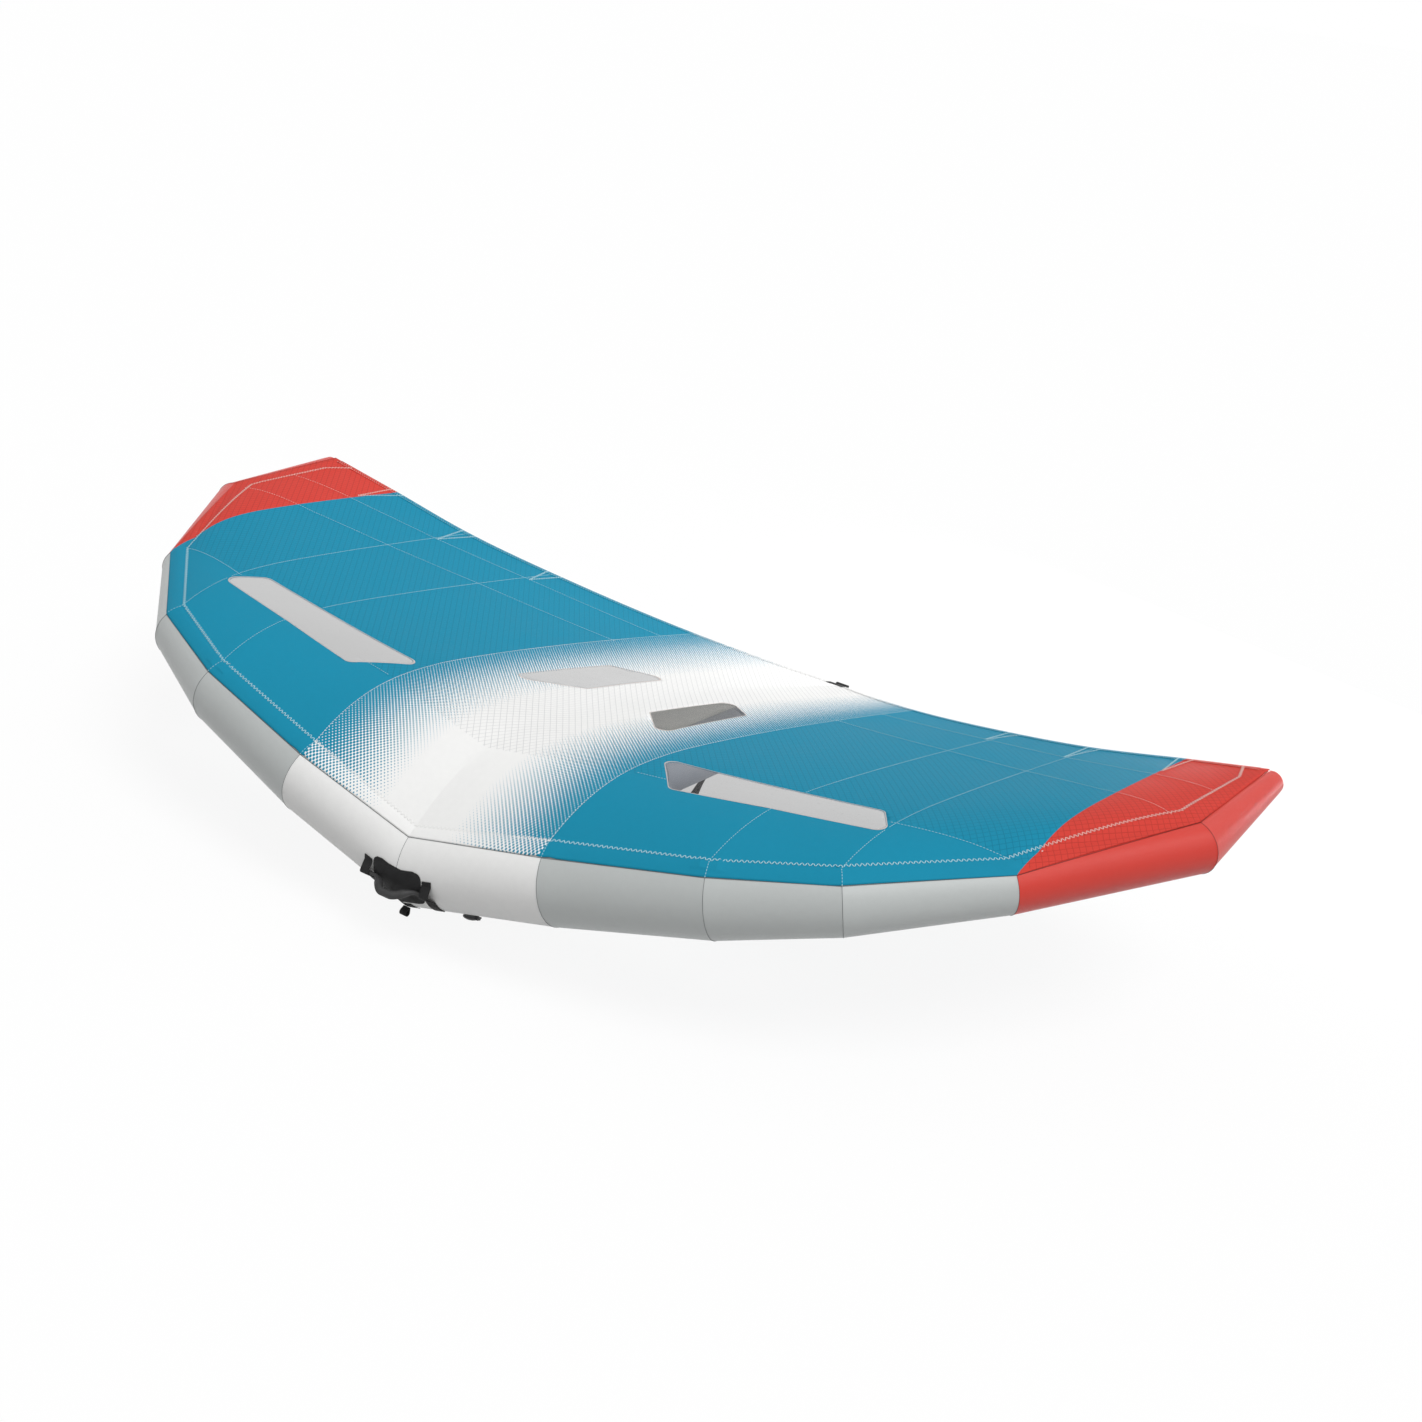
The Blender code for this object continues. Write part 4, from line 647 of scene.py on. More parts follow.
def dress(shader, colour, roughness, height, bump, strength=1.0, specular=0.5):
    feed(shader["Base Color"], colour)
    feed(shader["Roughness"], roughness)
    shader["Specular IOR Level"].default_value = specular
    feed(shader["Normal"], step(treeOf(height), "ShaderNodeBump",
                                {"Distance": bump, "Strength": strength, "Height": height}))


def uvVector(place):
    return step(treeOf(place), "ShaderNodeUVMap", {}, uv_map="metres")


def planPlace(place):
    # Object coordinates counted from the leading edge's centre, and folded to one hand.
    centred = step(treeOf(place), "ShaderNodeMapping", {"Location": -shift, "Vector": place})
    across, along = split(centred)[:2]
    return centred, calc("ABSOLUTE", across), along


def lineAt(along, line):
    return along * line[1] + line[0]


def plainCloth(name, colour, gloss=0.0, shine=0.2):
    shader, place = newMaterial(name)
    tone = useGroup("clothTone", Vector=uvVector(place), Place=place, Colour=colours[colour],
                    Thread=cloth["thread"])
    dress(shader, tone["Colour"], tone["Roughness"] - gloss, tone["Height"], cloth["bump"],
          cloth["bumpStrength"], shine)


def canopyCloth(name, tint=1.0):
    # White middle, dots that close up into teal, and red tips, from the plan place alone.
    shader, place = newMaterial(name)
    flat, half, along = planPlace(place)
    folded = step(treeOf(half), "ShaderNodeCombineXYZ", {0: half, 1: along})
    pastDots = half - lineAt(along, pattern["dotSeam"])
    ahead = along < lineAt(half, pattern["bandLine"])
    growth = calc("POWER", ramp(pastDots, -pattern["fadeWidth"], 0.0), pattern["fadePower"])
    amount = growth * calc("MULTIPLY_ADD", ahead, -pattern["bandLoss"], pattern["growth"])
    dots = useGroup("dotFade", Vector=folded, Pitch=pattern["dotPitch"], Amount=amount)["Mask"]
    colour = mixed(calc("MAXIMUM", dots, pastDots > 0.0), colours["white"], colours["teal"])
    colour = mixed(half > lineAt(along, pattern["redSeam"]), colour, colours["red"])
    lines = useGroup("threadGrid", Vector=folded, Spacing=pattern["lineSpacing"], Width=pattern["lineWidth"],
                     Slant=pattern["lineSlant"])["Mask"]
    lines = lines * (along > lineAt(half, pattern["ripstopLine"]))
    # The ripstop lines are darkened in the colour as well as raised in the bump: painted shade along the
    # thicker threads.
    colour = times(colour, mixed(lines * pattern["lineShare"], (1.0, 1.0, 1.0), pattern["lineShade"]))
    if tint != 1.0:
        colour = times(colour, (tint, tint, tint))
    tone = useGroup("clothTone", Vector=flat, Place=place, Colour=colour, Thread=cloth["thread"])
    dress(shader, tone["Colour"], tone["Roughness"], tone["Height"] + lines * 0.5, cloth["bump"],
          cloth["bumpStrength"], pattern["specular"])


def windowFilm(name):
    shader, place = newMaterial(name)
    haze = smoothStep(noise(place, 140.0, 6.0), 0.55, 0.8)
    feed(shader["Alpha"], haze * filmLook["hazeAlpha"] + filmLook["alpha"])
    dress(shader, mixed(haze, colours["film"], colours["scratch"]),
          haze * filmLook["hazeRoughness"] + filmLook["roughness"], noise(place, 7.0, 2.0), 0.004, 0.5,
          filmLook["specular"])


def threadMaterial(name, middle, inner, outer):
    # Thread dyed with the cloth under it.
    shader, place = newMaterial(name)
    flat, half, along = planPlace(place)
    colour = mixed(half > lineAt(along, pattern["dotSeam"]), middle, inner)
    colour = mixed(half > lineAt(along, pattern["redSeam"]), colour, outer)
    twist = noise(place, 900.0, 2.0)
    worn = mixed(twist * 0.25, colour, (0.3, 0.3, 0.3), "MULTIPLY")
    dress(shader, worn, twist * 0.3 + 0.45, twist, 0.0002, 0.5)


def webbingMaterial(name, colour):
    shader, place = newMaterial(name)
    weave = useGroup("plainWeave", Vector=uvVector(place), Thread=webbing["thread"])["Height"]
    ribs = step(treeOf(place), "ShaderNodeMapping", {"Scale": (1.0, 0.5, 1.0), "Vector": uvVector(place)})
    ribbed = useGroup("plainWeave", Vector=ribs, Thread=webbing["thread"] * 2)["Height"]
    dust = useGroup("edgeDust", Place=place, Colour=colours[colour], Dust=webbing["dust"])
    # The weave is painted into the colour: thread tops lighter and the gaps between them darker, a painted
    # shade and highlight that follow the bump.
    shade = mixed(weave * 0.7, (0.40, 0.40, 0.40), (1.5, 1.5, 1.5))
    shader["Sheen Weight"].default_value = webbing["sheen"]
    dress(shader, times(dust["Colour"], shade), dust["Roughness"] + 0.3, weave + ribbed * 0.5,
          webbing["bump"], specular=0.25)


def foamMaterial(name, colour):
    shader, place = newMaterial(name)
    cells = step(treeOf(place), "ShaderNodeTexVoronoi", {"Scale": 700.0, "Vector": place}, "Distance")
    dust = useGroup("edgeDust", Place=place, Colour=colours[colour], Dust=0.03)
    # The cells' pits are darker and the ridges between them lighter, following the bump: painted shade.
    colour = mixed(cells * 0.5, dust["Colour"], (0.05, 0.05, 0.05))
    dress(shader, colour, dust["Roughness"] + 0.2, cells, 0.0004)


def plasticMaterial(name, colour):
    shader, place = newMaterial(name)
    dust = useGroup("edgeDust", Place=place, Colour=colours[colour], Dust=0.03)
    dress(shader, dust["Colour"], dust["Roughness"], noise(place, 900.0, 3.0), 0.0001, 0.4)


for build in (plainWeave, threadGrid, dotFade, clothTone, edgeDust):
    build()
plainCloth("whiteCloth", "white", gloss=0.10)
plainCloth("greyCloth", "grey", gloss=0.26, shine=0.6)
plainCloth("redCloth", "redTube", gloss=0.28, shine=0.35)
plainCloth("beigeCloth", "beige")
plainCloth("strutCloth", "strut")
plainCloth("bladderFilm", "bladder")
canopyCloth("canopyCloth")
canopyCloth("hemCloth", pattern["hemTint"])
plainCloth("tapeCloth", "tape")
windowFilm("windowFilm")
plainCloth("windowBorder", "border")
for threadName, dyes in threadColours.items():
    threadMaterial(threadName, *dyes)
webbingMaterial("blackWebbing", "webbing")
foamMaterial("blackFoam", "foam")
plasticMaterial("blackPlastic", "plastic")
print("materials made")


# The stitch rows: a thread laid at each pitch along the input's edges.
def stitchTree():
    tree = bpy.data.node_groups.new("stitchRow", "GeometryNodeTree")
    sockets = {"Geometry": "Geometry", "Pitch": "Float", "Thread Length": "Float", "Thread Width": "Float",
               "Thread Height": "Float", "Slant": "Float", "Material": "Material"}
    for label, kind in sockets.items():
        tree.interface.new_socket(name=label, in_out="INPUT", socket_type="NodeSocket" + kind)
    tree.interface.new_socket(name="Geometry", in_out="OUTPUT", socket_type="NodeSocketGeometry")
    given = tree.nodes.new("NodeGroupInput")
    given = {label: Signal(given.outputs[label]) for label in sockets}
    lines = step(tree, "GeometryNodeMeshToCurve", {0: given["Geometry"]})
    spots = step(tree, "GeometryNodeResampleCurve", {"Curve": lines, "Length": given["Pitch"]}, mode="LENGTH")
    thread = step(tree, "GeometryNodeMeshUVSphere", {"Segments": 6, "Rings": 4, "Radius": 0.5}, "Mesh")
    size = step(tree, "ShaderNodeCombineXYZ",
                {0: given["Thread Length"], 1: given["Thread Width"], 2: given["Thread Height"]})
    normal = step(tree, "GeometryNodeInputNamedAttribute", {"Name": "surfaceNormal"}, "Attribute",
                  data_type="FLOAT_VECTOR")
    tangent = step(tree, "GeometryNodeInputTangent", {})
    facing = step(tree, "FunctionNodeAxesToRotation", {"Primary Axis": normal, "Secondary Axis": tangent},
                  primary_axis="Z", secondary_axis="X")
    odd = calc("FLOORED_MODULO", step(tree, "GeometryNodeInputIndex", {}), 2.0)
    lean = calc("MULTIPLY_ADD", odd, 2.0, -1.0) * given["Slant"]
    turn = step(tree, "FunctionNodeAxisAngleToRotation", {"Axis": (0.0, 0.0, 1.0), "Angle": lean})
    turned = step(tree, "FunctionNodeRotateRotation", {"Rotation": facing, "Rotate By": turn},
                  rotation_space="LOCAL")
    laid = step(tree, "GeometryNodeInstanceOnPoints",
                {"Points": spots, "Instance": thread, "Rotation": turned, "Scale": size})
    real = step(tree, "GeometryNodeRealizeInstances", {0: laid})
    painted = step(tree, "GeometryNodeSetMaterial", {"Geometry": real, "Material": given["Material"]})
    feed(tree.nodes.new("NodeGroupOutput").inputs[0], step(tree, "GeometryNodeSetShadeSmooth", {0: painted}))
    return tree


def runTree(piece, tree, values):
    # Sets a tree's named inputs, runs it and keeps the result as a plain mesh.
    made = piece.modifiers.new(tree.name, "NODES")
    made.node_group = tree
    for item in tree.interface.items_tree:
        if item.item_type == "SOCKET" and item.in_out == "INPUT" and item.name in values:
            made[item.identifier] = values[item.name]
    return baked(piece)


rowTree = stitchTree()


def stitches(name, paths, settings, body="wing"):
    # paths: lists of (point, normal), in the shapes' own frame.
    mesh = bpy.data.meshes.new(name)
    verts, edges, normals = [], [], []
    for path in paths:
        for k, (point, normal) in enumerate(path):
            if k:
                edges.append((len(verts) - 1, len(verts)))
            verts.append(point + shift)
            normals.append(normal)
    mesh.from_pydata(verts, edges, [])
    held = mesh.attributes.new("surfaceNormal", "FLOAT_VECTOR", "POINT")
    held.data.foreach_set("vector", [value for normal in normals for value in normal])
    piece = linked(name, mesh)
    runTree(piece, rowTree, {
        "Pitch": settings["pitch"], "Thread Length": settings["length"], "Thread Width": settings["width"],
        "Thread Height": settings["height"], "Slant": math.radians(settings.get("slant", 0.0)),
        "Material": materials[settings["material"]]})
    return settle(piece, body)


def planPath(points, lift, step=0.012):
    # A route over the canopy from plan points, as (point, normal) pairs.
    path = []
    for a, b in zip(points, points[1:]):
        a, b = Vector(a), Vector(b)
        count = max(1, round((b - a).length / step))
        for k in range(count):
            spot = a.lerp(b, k / count)
            path.append((onCanopy(spot.x, spot.y, lift), canopyUp(spot.x, spot.y)))
    path.append((onCanopy(points[-1][0], points[-1][1], lift), canopyUp(*points[-1])))
    return path


def bothSides(points):
    return [points, [(-x, y) for x, y in points]]


# Camera, lamps and floor.
cameraView = {
    "place": (2.929, -4.6490, 2.4239), "right": (0.8242, 0.5485, 0.1406), "up": (-0.3039, 0.2189, 0.9272),
    "lens": 53.16, "sensor": 36.0, "farthest": 1000.0,
}
studio = {
    "lampStrength": 1.80, "lampAngle": 30.0, "lampPlace": (2.6, -0.9, 5.0), "lampTarget": (0.0, 0.0, 0.4),
    "fillStrength": 85.0, "fillSize": (2.0, 0.4), "fillPlace": (1.1, 3.4, 0.26),
    "fillTarget": (0.0, -0.2, 0.3), "sky": 0.51, "floorSize": 300.0, "floorColour": 0.93,
    "floorBounce": 0.45, "floorGlow": 0.90, "floorGrain": 0.02, "floorRoughness": 0.9, "floorSpecular": 0.1,
}


def buildCamera():
    lensData = bpy.data.cameras.new("photoCamera")
    lensData.lens = cameraView["lens"]
    lensData.sensor_width = cameraView["sensor"]
    lensData.clip_end = cameraView["farthest"]
    camera = linked("photoCamera", lensData)
    right = Vector(cameraView["right"]).normalized()
    back = right.cross(Vector(cameraView["up"])).normalized()
    camera.matrix_world = axesAt(cameraView["place"], right, back.cross(right), back)
    bpy.context.scene.camera = camera
    bpy.context.scene.view_settings.view_transform = "Standard"


def rayMask(tree):
    # 1 where a ray comes from the camera, a mirror image or a clear film, and 0 for light that lights.
    rays = {socket.name: Signal(socket) for socket in tree.nodes.new("ShaderNodeLightPath").outputs}
    seen = calc("MAXIMUM", rays["Is Camera Ray"], rays["Is Glossy Ray"])
    return calc("MAXIMUM", seen, rays["Is Transmission Ray"])


def addLamp(name, kind, strength, place, target):
    lamp = linked(name, bpy.data.lights.new(name, kind))
    lamp.data.energy = strength
    lamp.location = place
    lamp.rotation_euler = (Vector(target) - lamp.location).to_track_quat("-Z", "Y").to_euler()
    return lamp.data


def buildStudio():
    world = bpy.data.worlds.new("studioWorld")
    world.use_nodes = True
    bpy.context.scene.world = world
    ground = world.node_tree.nodes["Background"].inputs
    sky = studio["sky"]
    feed(ground["Strength"], calc("MULTIPLY_ADD", rayMask(world.node_tree), 1.0 - sky, sky))
    feed(ground["Color"], (1.0, 1.0, 1.0))
    soft = addLamp("softLamp", "SUN", studio["lampStrength"], studio["lampPlace"], studio["lampTarget"])
    soft.angle = math.radians(studio["lampAngle"])
    fill = addLamp("fillLamp", "AREA", studio["fillStrength"], studio["fillPlace"], studio["fillTarget"])
    fill.shape = "RECTANGLE"
    fill.size, fill.size_y = studio["fillSize"]


def buildFloor():
    made = bmesh.new()
    bmesh.ops.create_grid(made, x_segments=2, y_segments=2, size=studio["floorSize"])
    floor = fromBmesh("studioFloor", made, None)
    paint = bpy.data.materials.new("studioFloor")
    paint.use_nodes = True
    tree = paint.node_tree
    shader = tree.nodes["Principled BSDF"]
    grain = noise(step(tree, "ShaderNodeTexCoord", {}, "Object"), 3.0)
    bounce = studio["floorBounce"]
    base = calc("MULTIPLY_ADD", rayMask(tree), studio["floorColour"] - bounce, bounce)
    feed(shader.inputs["Base Color"], allThree(calc("MULTIPLY_ADD", grain, studio["floorGrain"], base)))
    shader.inputs["Roughness"].default_value = studio["floorRoughness"]
    shader.inputs["Specular IOR Level"].default_value = studio["floorSpecular"]
    glow = step(tree, "ShaderNodeEmission", {})
    share = rayMask(tree) * studio["floorGlow"]
    blend = step(tree, "ShaderNodeMixShader", {0: share, 1: Signal(shader.outputs[0]), 2: glow})
    feed(tree.nodes["Material Output"].inputs["Surface"], blend)
    floor.data.materials.append(paint)


buildCamera()
buildStudio()
buildFloor()
print("camera and studio made")


# Transfer hose between the tube and the strut.
hose = {
    "tubePlace": 0.157, "tubeAngle": 140.0, "strutPlace": 0.300, "strutAngle": 120.0, "portReach": 0.020,
    "gap": 0.0003, "radius": 0.0080, "lead": 0.070, "ribPitch": 0.0045, "ribDepth": 0.0007, "ribRings": 4,
    "sides": 20,
}


def bezier(points, share):
    a, b, c, d = points
    rest = 1 - share
    return a * rest ** 3 + b * 3 * rest ** 2 * share + c * 3 * rest * share ** 2 + d * share ** 3


def hoseRoute():
    station = hose["tubePlace"] / firstLength
    turn = math.radians(hose["strutAngle"])
    firstOut, lastOut = tubeOut(station, hose["tubeAngle"]), strutOut(turn)
    start = tubePoint(station, hose["tubeAngle"], 0.0) + firstOut * (hose["portReach"] + hose["gap"])
    end = strutPoint(hose["strutPlace"], turn, hose["portReach"] + hose["gap"])
    bendStart = start + firstOut * hose["radius"]
    bendEnd = end + lastOut * hose["radius"]
    controls = (bendStart, bendStart + firstOut * hose["lead"], bendEnd + lastOut * hose["lead"], bendEnd)
    return [start] + [bezier(controls, k / 40) for k in range(41)] + [end]


def buildHose():
    route = hoseRoute()
    lengths = runLengths(route)
    total = lengths[-1]
    rings, path = [], []
    count = round(total / hose["ribPitch"]) * hose["ribRings"]
    for k in range(count + 1):
        reach = total * k / count
        i = max(j for j in range(len(route) - 1) if lengths[j] <= reach + 1e-9)
        point = route[i].lerp(route[i + 1], (reach - lengths[i]) / (lengths[i + 1] - lengths[i]))
        way = (route[min(i + 2, len(route) - 1)] - route[max(i - 1, 0)]).normalized()
        groove = 0.5 - 0.5 * math.cos(2 * math.pi * k / hose["ribRings"])
        rings.append(roundRing(point, way, hose["radius"] - hose["ribDepth"] * groove, hose["sides"]))
        path.append(point + shift)
    piece = surface("hoseTube", rings, "blackFoam", closed=True, caps=True, sharp=60.0)
    settle(piece, "wing", ["transfer_hose"])
    print("hose length", round(total, 4))


buildHose()


# Leading edge casings, one sewn length at a time.
def casingRings(index):
    sides = range(tube["sides"])
    stations = [index + k / tube["rings"] for k in range(tube["rings"] + 1)]
    return [[tubePoint(station, 360.0 * j / tube["sides"], 0.0) for j in sides] for station in stations]


def tipCap(rings):
    # Closes the last ring with a rounded end.
    centre, way, radius, rounding = axisPoints[-1], tubeWays[-1], seamRadii[-1], tube["tipRounding"]
    body = rings[:-1] + [[point - way * rounding for point in rings[-1]]]
    for k in range(1, 6):
        turn = math.pi / 2 * k / 5
        share = (radius - rounding * (1 - math.cos(turn))) / radius
        body.append([centre + (point - centre) * share + way * (rounding * (math.sin(turn) - 1))
                     for point in rings[-1]])
    for share in (0.66, 0.33, 0.04):
        flat = (radius - rounding) / radius * share
        body.append([centre + (point - centre) * flat for point in rings[-1]])
    return body


def buildCasings():
    for index, colour in enumerate(tube["colours"]):
        rings = casingRings(index)
        if index == len(tube["colours"]) - 1:
            rings = tipCap(rings)
        for side, word in handSides:
            handed = [[mirrored(point, side) for point in ring] for ring in rings]
            name = "casing" + word.capitalize() + str(index + 1)
            piece = surface(name, handed, colour + "Cloth", closed=True, turn=side < 0)
            settle(piece, "wing", ["leading_edge_" + word + "_" + str(index + 1)])


buildCasings()
print("casings made")


# Canopy: one continuous sheet, with the four window holes cut through it.
windows = {
    "front": ((0.322, 0.140), (0.662, 0.115), (0.620, 0.217), (0.245, 0.232)),
    "rear": ((0.067, 0.397), (0.157, 0.320), (0.147, 0.566), (0.068, 0.605)),
    "rounding": 0.025, "film": 0.0005, "overlap": 0.0002, "filmMargin": 0.02, "sewingRoom": 0.006,
    "borderGap": 0.0005, "borderLift": 0.0002, "borderWidth": 0.0028, "borderThickness": 0.0004,
    "borderStep": 0.02,
    "flats": {"front": (0.560, 0.200, 0.0802), "rear": (0.150, 0.440, 0.0577)},
}
windowNames = ("front", "rear")


def windowOutline(name, inset, steps=9):
    # The window's four corners moved in by an inset and rounded.
    corners = []
    for span, chord in windows[name]:
        x = canopy["halfSpan"] * span
        corners.append(Vector((x, chordPlace(x, chord))))
    count = len(corners)
    moved = []
    for k in range(count):
        here = corners[k]
        toHere = (here - corners[k - 1]).normalized()
        toAfter = (corners[(k + 1) % count] - here).normalized()
        inward = Vector((-toHere.y, toHere.x))
        normal = (inward + Vector((-toAfter.y, toAfter.x))).normalized()
        moved.append(here + normal * inset / normal.dot(inward))
    points = []
    for k in range(count):
        here = moved[k]
        toBefore = (moved[k - 1] - here).normalized()
        toAfter = (moved[(k + 1) % count] - here).normalized()
        half = toBefore.angle(toAfter) / 2
        centre = here + (toBefore + toAfter).normalized() * windows["rounding"] / math.sin(half)
        start = here + toBefore * (windows["rounding"] / math.tan(half)) - centre
        for corner in range(steps):
            turn = (math.pi - 2 * half) * corner / (steps - 1)
            cos, sin = math.cos(turn), math.sin(turn)
            points.append(centre + Vector((start.x * cos - start.y * sin, start.x * sin + start.y * cos)))
    return points


def overWindow(x, y):
    # Whether a plan place lies on a window or its border.
    for name in windowNames:
        corners = windowOutline(name, -windows["sewingRoom"])
        inside = False
        for a, b in zip(corners, corners[1:] + corners[:1]):
            if (a.y > y) != (b.y > y) and abs(x) < a.x + (y - a.y) / (b.y - a.y) * (b.x - a.x):
                inside = not inside
        if inside:
            return True
    return False


def clearRuns(spots, place):
    # Splits a row of spots where it would cross a window.
    runs = [[]]
    for spot in spots:
        if overWindow(*place(spot)):
            runs.append([])
        else:
            runs[-1].append(spot)
    return [run for run in runs if len(run) > 1]


def prism(name, outline, side):
    # A plan outline stood up through the canopy, as a cutter.
    points = [Vector((point.x * side, point.y)) for point in outline]
    points = points if side > 0 else points[::-1]
    made = bmesh.new()
    low, high = [[made.verts.new(Vector((point.x, point.y, level)) + shift) for point in points]
                 for level in (-0.3, 0.9)]
    made.faces.new(low)
    made.faces.new(high)
    for k in range(len(points)):
        n = (k + 1) % len(points)
        made.faces.new((low[k], low[n], high[n], high[k]))
    bmesh.ops.recalc_face_normals(made, faces=made.faces)
    return fromBmesh(name, made, None)


def cutWith(piece, cutter, operation):
    cut = piece.modifiers.new("cut", "BOOLEAN")
    cut.operation = operation
    cut.object = cutter
    cut.solver = "EXACT"
    baked(piece)
    bpy.data.objects.remove(cutter)


def buildCanopy():
    right = [[underCanopy(point.x, point.y) for point in column] for column in canopyColumns()]
    left = [[mirrored(point) for point in column] for column in reversed(right[1:])]
    rows = [list(row) for row in zip(*(left + right))]
    piece = surface("canopySheet", rows, "canopyCloth", sharp=9.0)
    baked(thicken(piece, canopy["cloth"], 1.0))
    for side, word in handSides:
        for name in windowNames:
            cutWith(piece, prism("windowHole", windowOutline(name, 0.0), side), "DIFFERENCE")
    nodes = ["canopy_centre"]
    for side, word in handSides:
        nodes += ["canopy_" + word + "_" + panel for panel in ("inner", "middle", "outer", "tip")]
    settle(piece, "wing", nodes)
    print("canopy area", round(faceArea(piece), 3), "faces", len(piece.data.polygons))
    return piece


canopySheet = buildCanopy()
print("canopy made")


def filmRows(name, side):
    spans, chords = zip(*windows[name])
    margin = windows["filmMargin"]
    rows = []
    for i in range(17):
        chord = lerp(min(chords) - margin, max(chords) + margin, i / 16)
        row = []
        for k in range(33):
            x = canopy["halfSpan"] * lerp(min(spans) - margin, max(spans) + margin, k / 32)
            row.append(mirrored(underCanopy(x, chordPlace(x, chord)), side))
        rows.append(row if side > 0 else row[::-1])
    return rows


def buildBorder(name, side, pieceName):
    inner = windowOutline(name, -windows["borderGap"])
    outer = windowOutline(name, -windows["borderWidth"])
    pairs = []
    for k in range(len(inner)):
        n = (k + 1) % len(inner)
        count = max(1, round((inner[n] - inner[k]).length / windows["borderStep"]))
        for j in range(count):
            pairs.append((inner[k].lerp(inner[n], j / count), outer[k].lerp(outer[n], j / count)))
    pairs.append(pairs[0])
    lift = windows["borderLift"]
    strip = [[mirrored(onCanopy(spot.x, spot.y, lift), side) for spot in pair] for pair in pairs]
    border = welded(surface(pieceName, strip, "windowBorder", turn=side > 0), 1e-5, False)
    return settle(thicken(border, windows["borderThickness"], 1.0))


def buildWindows():
    for side, word in handSides:
        for name in windowNames:
            ending = word.capitalize() + name.capitalize()
            film = surface("window" + ending, filmRows(name, side), "windowFilm", sharp=0)
            baked(thicken(film, windows["film"], 1.0))
            cutWith(film, prism("filmOutline", windowOutline(name, windows["overlap"]), side), "INTERSECT")
            settle(film, "wing", ["window_" + word + "_" + name])
            print("window area", word, name, round(faceArea(film), 4))
            border = buildBorder(name, side, "windowBorder" + ending)


buildWindows()
print("windows made")


# Strut: the inflated tube under the centre line, with the cloth wall that ties it to the canopy.
def tubeBack(x, z, gap):
    # Where a line along Y at (x, z) meets the rear of the leading edge tube.
    low, high = 0.0, 0.2
    way = tubeWays[0]
    for k in range(30):
        y = (low + high) / 2
        point = Vector((abs(x), y, z))
        along = point.dot(way)
        radius = lerp(seamRadii[0], seamRadii[1], along / tube["lengths"][0])
        if (point - way * along).length > radius + gap:
            high = y
        else:
            low = y
    return (low + high) / 2


def strutRing(y):
    return [strutPoint(y, -2 * math.pi * k / strut["sides"]) for k in range(strut["sides"])]


def spaced(first, last, count):
    return [first + (last - first) * k / count for k in range(1, count + 1)]


def buildStrut():
    nose = [(point.x, tubeBack(point.x, point.z, strut["gap"]), point.z) for point in strutRing(0.0)]
    rings = [[Vector(place) for place in nose]]
    places = [strut["firstRing"]] + spaced(strut["firstRing"], strut["taperPlace"], 24)
    rings += [strutRing(y) for y in places + spaced(strut["taperPlace"], strut["tailPlace"], 12)]
    tail = rings[-1]
    centre = Vector((0.0, strut["tailPlace"], strutHeight(strut["tailPlace"])))
    for share in (0.2, 0.4, 0.6, 0.75, 0.88, 1.0):
        bulge = math.sqrt(1 - (share * 0.9) ** 2)
        back = aft * (strut["tailRounding"] * share)
        rings.append([centre + (point - centre) * bulge + back for point in tail])
    rings.append([Vector((point.x * 0.02, point.y, lerp(centre.z, point.z, 0.02))) for point in rings[-1]])
    piece = surface("strutCasing", rings, "strutCloth", closed=True)
    settle(piece, "wing", ["strut_casing"])


buildStrut()

rib = {"frontAngle": -12.0, "arcSteps": 24, "strutSteps": 90}


def buildRib():
    # The wall's lower edge follows the tube's skin and then the top of the strut.
    tubeRadius = seamRadii[0] + 2 * strut["gap"]
    joinZ = strut["height"] + strut["radius"] + strut["gap"]
    low, join = 0.0, 90.0
    for k in range(20):
        middle = (low + join) / 2
        if seamPoint(0, tubeRadius, middle).z > joinZ:
            low = middle
        else:
            join = middle
    arc = [seamPoint(0, tubeRadius, lerp(join, rib["frontAngle"], k / rib["arcSteps"]))
           for k in range(rib["arcSteps"])]
    edge = [(point.y, point.z) for point in reversed(arc[1:])] + [(arc[0].y, joinZ)]
    for y in spaced(arc[0].y, strut["tailPlace"], rib["strutSteps"]):
        edge.append((y, strutHeight(y) + strutRadius(y) + strut["gap"]))
    rows = []
    for y, z in edge:
        topZ = canopyHeight(0.0, y) - strut["gap"]
        rows.append([Vector((0.0, y, lerp(z, topZ, share))) for share in (0.0, 0.25, 0.5, 0.75, 1.0)])
    piece = thicken(surface("ribWall", rows, "beigeCloth", sharp=0), strut["wall"], 0.0)
    settle(piece, "wing", ["strut_rib"])
    print("rib area", round(faceArea(piece, 1), 4))


buildRib()
print("strut made")


# Handles under the strut.
handles = {
    "places": {"front": 0.400, "rear": 0.965}, "spread": 0.335, "drop": 0.092, "neckRadius": 0.0032,
    "neckLength": 0.030, "webbingWidth": 0.026, "webbingThickness": 0.0028, "flatFrom": 0.10,
    "flatOver": 0.16, "gripDiameter": 0.032, "gripFrom": 0.336, "gripEnds": (0.78, 0.92, 0.98, 1.0),
    "clearance": 0.0004, "bow": ((0.17, 0.36), (0.27, 0.80), (0.38, 0.97), (0.47, 1.0)), "gap": 0.0003,
    "patchLength": 0.070, "patchThickness": 0.0012, "patchTurn": 36.0, "patchCorner": 0.25,
    "patchNarrowing": 0.25,
}


def handlePath(start, height):
    end = start + handles["spread"]
    drop = handles["drop"] - handles["gripDiameter"] / 2
    half = handles["neckLength"] / 2
    places = [(start - half, 0.0), (start + half, 0.0)]
    places += [(start + handles["spread"] * along, drop * down) for along, down in handles["bow"]]
    places += [(start + end - y, down) for y, down in reversed(places)]
    return [Vector((0.0, y, height - down)) for y, down in places]


